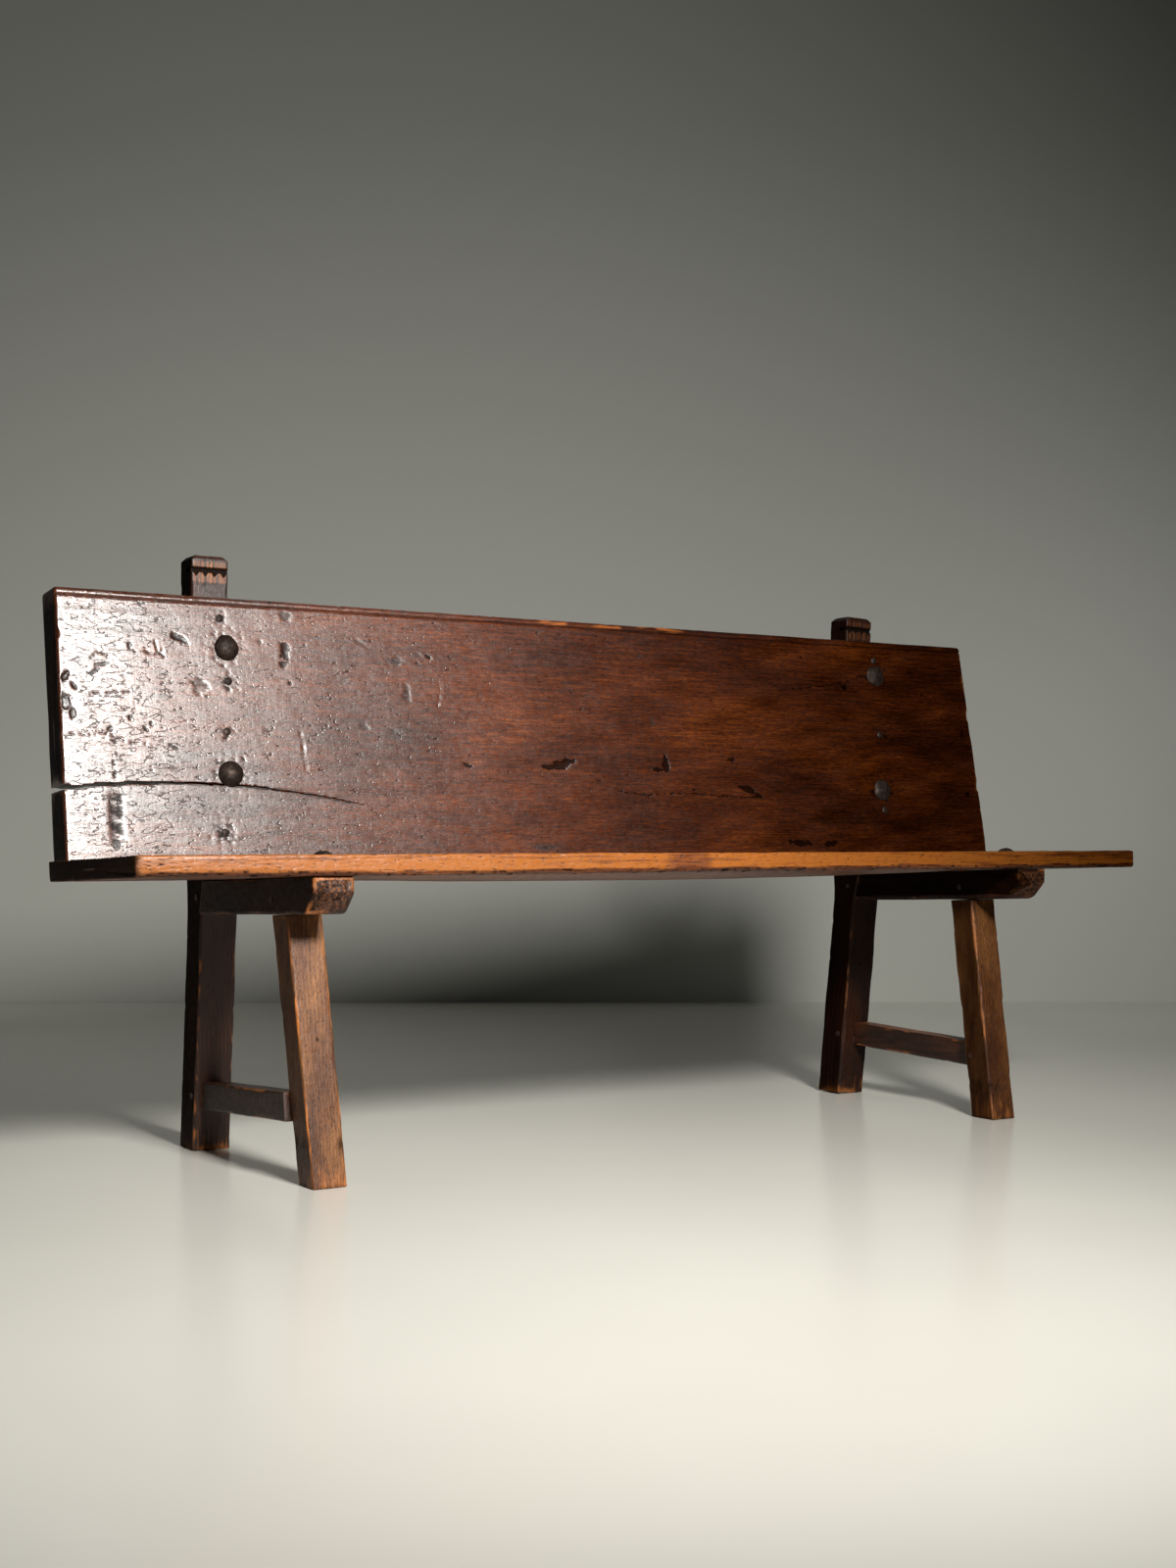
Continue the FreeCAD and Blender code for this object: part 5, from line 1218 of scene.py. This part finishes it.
def buildStretcher(side, f):
    # rings along Y from leg to stile, the height going evenly from frontHigh to rearHigh
    g = frameSpec
    rearHigh, frontHigh = f["bar"]

    def barPlace(t, u, v):
        # shares along Y between the leg's raked rear face and the stile's raked front face
        up = v / g["barHigh"] + 0.5
        rear = g["face"] + g["stileRake"] * (1 - rearHigh / g["railFoot"])
        front = g["legFootRear"] + g["legSplay"] * frontHigh / g["legTop"]
        drop = g["barHigh"] * (1 - up)
        y0 = front - g["legSplay"] * drop / g["legTop"] + g["gap"]
        y1 = rear + g["stileRake"] * drop / g["railFoot"] - g["gap"]
        y = y0 + (y1 - y0) * t
        z = rearHigh + (frontHigh - rearHigh) * (rear - y) / (rear - front) - drop
        return np.stack([f["station"] + f["barShift"] + u, y, z], axis=-1)

    def radii(t):
        # corner radii: a worn value with slow sine waves along the length
        wave = 0.0006 * np.sin(t * 13 + f["seed"])
        return np.tile([0.0028, 0.0028, 0.0030, 0.0030], (len(t), 1)) + wave[:, None]

    def barRelief(info):
        # hand wear, with the top rubbed by feet
        depth, wear, dirtAndShade = handWorn(info, f["seed"] + 61, rough=0.0005, chip=0.0012, wearWide=0.003, wearBase=0.0)
        top = info["facing"] == 0
        wear = np.where(top, np.maximum(wear, 0.3), wear)
        return depth, {"wear": np.clip(wear, 0, 1), "dirtAndShade": np.clip(dirtAndShade, 0, 1)}

    timber(
        "stretcher" + side.capitalize(), ["stretcher_" + side], railWood,
        {
            "stations": np.linspace(0, 1, 90), "length": 0.32, "endRound": 0.0006, "halfU": constant(g["barWide"] / 2),
            "halfV": constant(g["barHigh"] / 2), "radii": radii, "sides": [crispRow(6, 0.035)] * 4,
            "capRings": 4, "slot": "frame_wood",
        },
        barPlace, barRelief,
    )


legWood = woodFinish("rubbedOakLegs", legFinish)
for side, f in frames.items():
    buildStile(side, f)
    buildRail(side, f)
    buildLeg(side, f)
    buildStretcher(side, f)

# forged iron


def ironFinish(name, colour, rough):
    # wrought iron, forged and blacked, then rubbed: a dull dark metal with brown rust in clouds
    material, tree = newMaterial(name)
    spot = addNode(tree, "TexCoord")
    cloud = addNode(tree, "TexNoise", {"Scale": 160.0, "Detail": 4.0}, {"Vector": spot.outputs["Object"]})
    grit = addNode(tree, "TexNoise", {"Scale": 900.0, "Detail": 2.0}, {"Vector": spot.outputs["Object"]})
    shade = rampStops(
        addNode(tree, "ValToRGB", links={"Fac": cloud.outputs["Fac"]}),
        [(0.35, linear("#150e0a")), (0.5, linear(colour)), (0.68, linear("#382b24"))],
    )
    high = addNode(
        tree, "Math", {"operation": "MULTIPLY_ADD", 1: 0.4}, {0: grit.outputs["Fac"], 2: cloud.outputs["Fac"]},
    )
    bump = addNode(tree, "Bump", {"Strength": 0.5, "Distance": 0.0006}, {"Height": high.outputs[0]})
    gloss = addNode(
        tree, "MapRange", {"From Min": 0.3, "From Max": 0.7, "To Min": rough + 0.12, "To Max": rough - 0.04},
        {"Value": cloud.outputs["Fac"]},
    )
    skin = addNode(
        tree, "BsdfPrincipled", {"Metallic": 0.6, "Specular IOR Level": 0.4},
        {"Base Color": shade.outputs["Color"], "Roughness": gloss.outputs[0], "Normal": bump.outputs[0]},
    )
    addNode(tree, "OutputMaterial", links={"Surface": skin.outputs[0]})
    return material


forgedIron = ironFinish("forgedBlackIron", "#261b15", 0.54)


def nailShell(head, seed):
    # a nail about its own axis, +Z outward: hammered dome, flat underside, tapering shank.
    # rows run from the crown to the point; flats are planes that shave the dome
    wide, high, shankWide, shank = head
    sphere = (wide * wide / 4 + high * high) / (2 * high)
    swing = np.linspace(0, math.asin(min(1.0, wide / 2 / sphere)), 15)[1:]
    radius = np.concatenate([
        sphere * np.sin(swing), [wide / 2 * 0.985, shankWide / 2, shankWide / 2, shankWide / 2, shankWide / 6],
    ])
    level = np.concatenate([
        sphere * np.cos(swing) - sphere + high, [0.0, 0.0, -shank * 0.4, -shank * 0.8, -shank],
    ])
    rim = len(swing) - 1
    level[rim] = max(level[rim], 0.0004)
    around = 40
    angle = np.linspace(0, 2 * np.pi, around, endpoint=False)
    x = radius[:, None] * np.cos(angle)
    y = radius[:, None] * np.sin(angle)
    z = level[:, None] + 0 * x
    rng = np.random.default_rng(seed)
    onDome = (np.arange(len(radius)) <= rim)[:, None]
    for _ in range(9):
        tilt = rng.uniform(0.15, 0.95)
        turn = rng.uniform(0, 2 * np.pi)
        aim = np.array([math.sin(tilt) * math.cos(turn), math.sin(tilt) * math.sin(turn), math.cos(tilt)])
        centre = np.array([0, 0, high - sphere])
        reach = sphere * rng.uniform(0.975, 0.992)
        over = (x - centre[0]) * aim[0] + (y - centre[1]) * aim[1] + (z - centre[2]) * aim[2] - reach
        shave = np.clip(over, 0, None) * onDome
        x, y, z = x - shave * aim[0] * 0.8, y - shave * aim[1] * 0.8, z - shave * aim[2] * 0.8
    z = np.where(onDome, np.maximum(z, 0.0002), z)
    ragged = 1 - 0.05 * np.clip(ripples(np.stack([np.cos(angle), np.sin(angle), 0 * angle], axis=1), 1.4, seed), 0, 1.5)
    edge = (np.abs(np.arange(len(radius)) - rim - 0.5) < 2)[:, None]
    x, y = np.where(edge, x * ragged, x), np.where(edge, y * ragged, y)
    rows = np.stack([x, y, z], axis=-1)
    count = len(radius)
    place = np.vstack([rows.reshape(-1, 3), [[0, 0, z[0].mean() + 0.00005]], [[0, 0, -shank]]])
    j = np.arange(around)
    k = (j + 1) % around
    i = np.arange(count - 1)[:, None] * around
    quads = np.stack([i + j, i + around + j, i + around + k, i + k], axis=-1).reshape(-1, 4).tolist()
    last = (count - 1) * around
    fans = np.stack([j, k, np.full(around, count * around)], axis=-1).tolist()
    fans += np.stack([last + k, last + j, np.full(around, count * around + 1)], axis=-1).tolist()
    return place, quads + fans


def layNails(name, node, nails, frameOf):
    # several nails as one object; frameOf(nail) gives its seat point and its outward direction, and
    # each point is seat + x side + y up + z out
    points, faces = [], []
    for nail in nails:
        seat, out = frameOf(nail)
        side = np.array([1.0, 0.0, 0.0])
        up = np.cross(out, side)
        place, shell = nailShell(nail["head"], nail["seed"])
        start = sum(len(q) for q in points)
        points.append(seat + place[:, :1] * side + place[:, 1:2] * up + place[:, 2:] * out)
        faces += [[v + start for v in f] for f in shell]
    mesh = bpy.data.meshes.new(name)
    mesh.from_pydata(np.vstack(points).tolist(), [], faces)
    mesh.polygons.foreach_set("use_smooth", np.ones(len(mesh.polygons), bool))
    mesh.materials.append(forgedIron)
    piece = bpy.data.objects.new(name, mesh)
    bpy.context.scene.collection.objects.link(piece)
    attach(piece, "root")
    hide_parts(node)


def backNailFrame(nail):
    # on the back plank's front face, outward square to it
    s, c = slope(lean)
    seat = onBack(np.array(nail["at"][0]), np.array(nail["at"][1]), np.array(backSpec["thick"] - 0.0004))
    return seat, np.array([0.0, -c, s])


def seatNailFrame(nail):
    # on the seat's raked top, outward square to it
    s, c = slope(rake)
    along, fromFront = nail["at"]
    y, z = seatSpec["front"] + fromFront, seatSpec["thick"] - 0.0003
    restY, restZ = seatSpec["rest"]
    return np.array([along, restY + y * c + z * s, restZ - y * s + z * c]), np.array([0.0, s, c])


# heads are (width, height, shank width, shank length), in metres
nailSpec = {
    "dome": {"left": (0.041, 0.011, 0.008, 0.0935), "right": (0.041, 0.0052, 0.008, 0.0935)},
    "stud": (0.013, 0.0019, 0.005, 0.0835),
    "seat": (0.030, 0.007, 0.008, 0.0615),
    "seatAlong": {"left": -0.6155, "right": 0.6635},
    "seatFromFront": (0.078, 0.300),
}
domeSpots = {
    "left_upper": backNails[0], "left_lower": backNails[1], "right_upper": backNails[2], "right_lower": backNails[3],
}
for number, (label, spot) in enumerate(domeSpots.items()):
    nail = {"head": nailSpec["dome"][label.split("_")[0]], "seed": 301 + number, "at": spot[:2]}
    layNails("domeNail_" + label, "dome_nail_" + label, [nail], backNailFrame)
studSpots = {"left": backNails[4:8], "right": backNails[8:11]}
for side, spots in studSpots.items():
    nails = [{"head": nailSpec["stud"], "seed": 320 + n, "at": spot[:2]} for n, spot in enumerate(spots)]
    layNails("smallNails_" + side, "small_nails_" + side, nails, backNailFrame)
for side, station in nailSpec["seatAlong"].items():
    nails = [
        {"head": nailSpec["seat"], "seed": 340 + n, "at": (station, run)}
        for n, run in enumerate(nailSpec["seatFromFront"])
    ]
    layNails("seatNails_" + side, "seat_nails_" + side, nails, seatNailFrame)
print("nails laid")

# the pegs are split oak, shaved round and driven: dark end grain shows. They keep the CAD's shapes

pegWood = woodFinish("splitOakPegs", pegFinish)
pegNodes = [kind + side for kind in ("rail_peg_", "leg_peg_", "stretcher_pegs_") for side in ("left", "right")]
for name in pegNodes:
    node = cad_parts[name]
    node.data.materials.clear()
    node.data.materials.append(pegWood)
print("pegs dressed")

bpy.context.scene.view_settings.view_transform = "Standard"
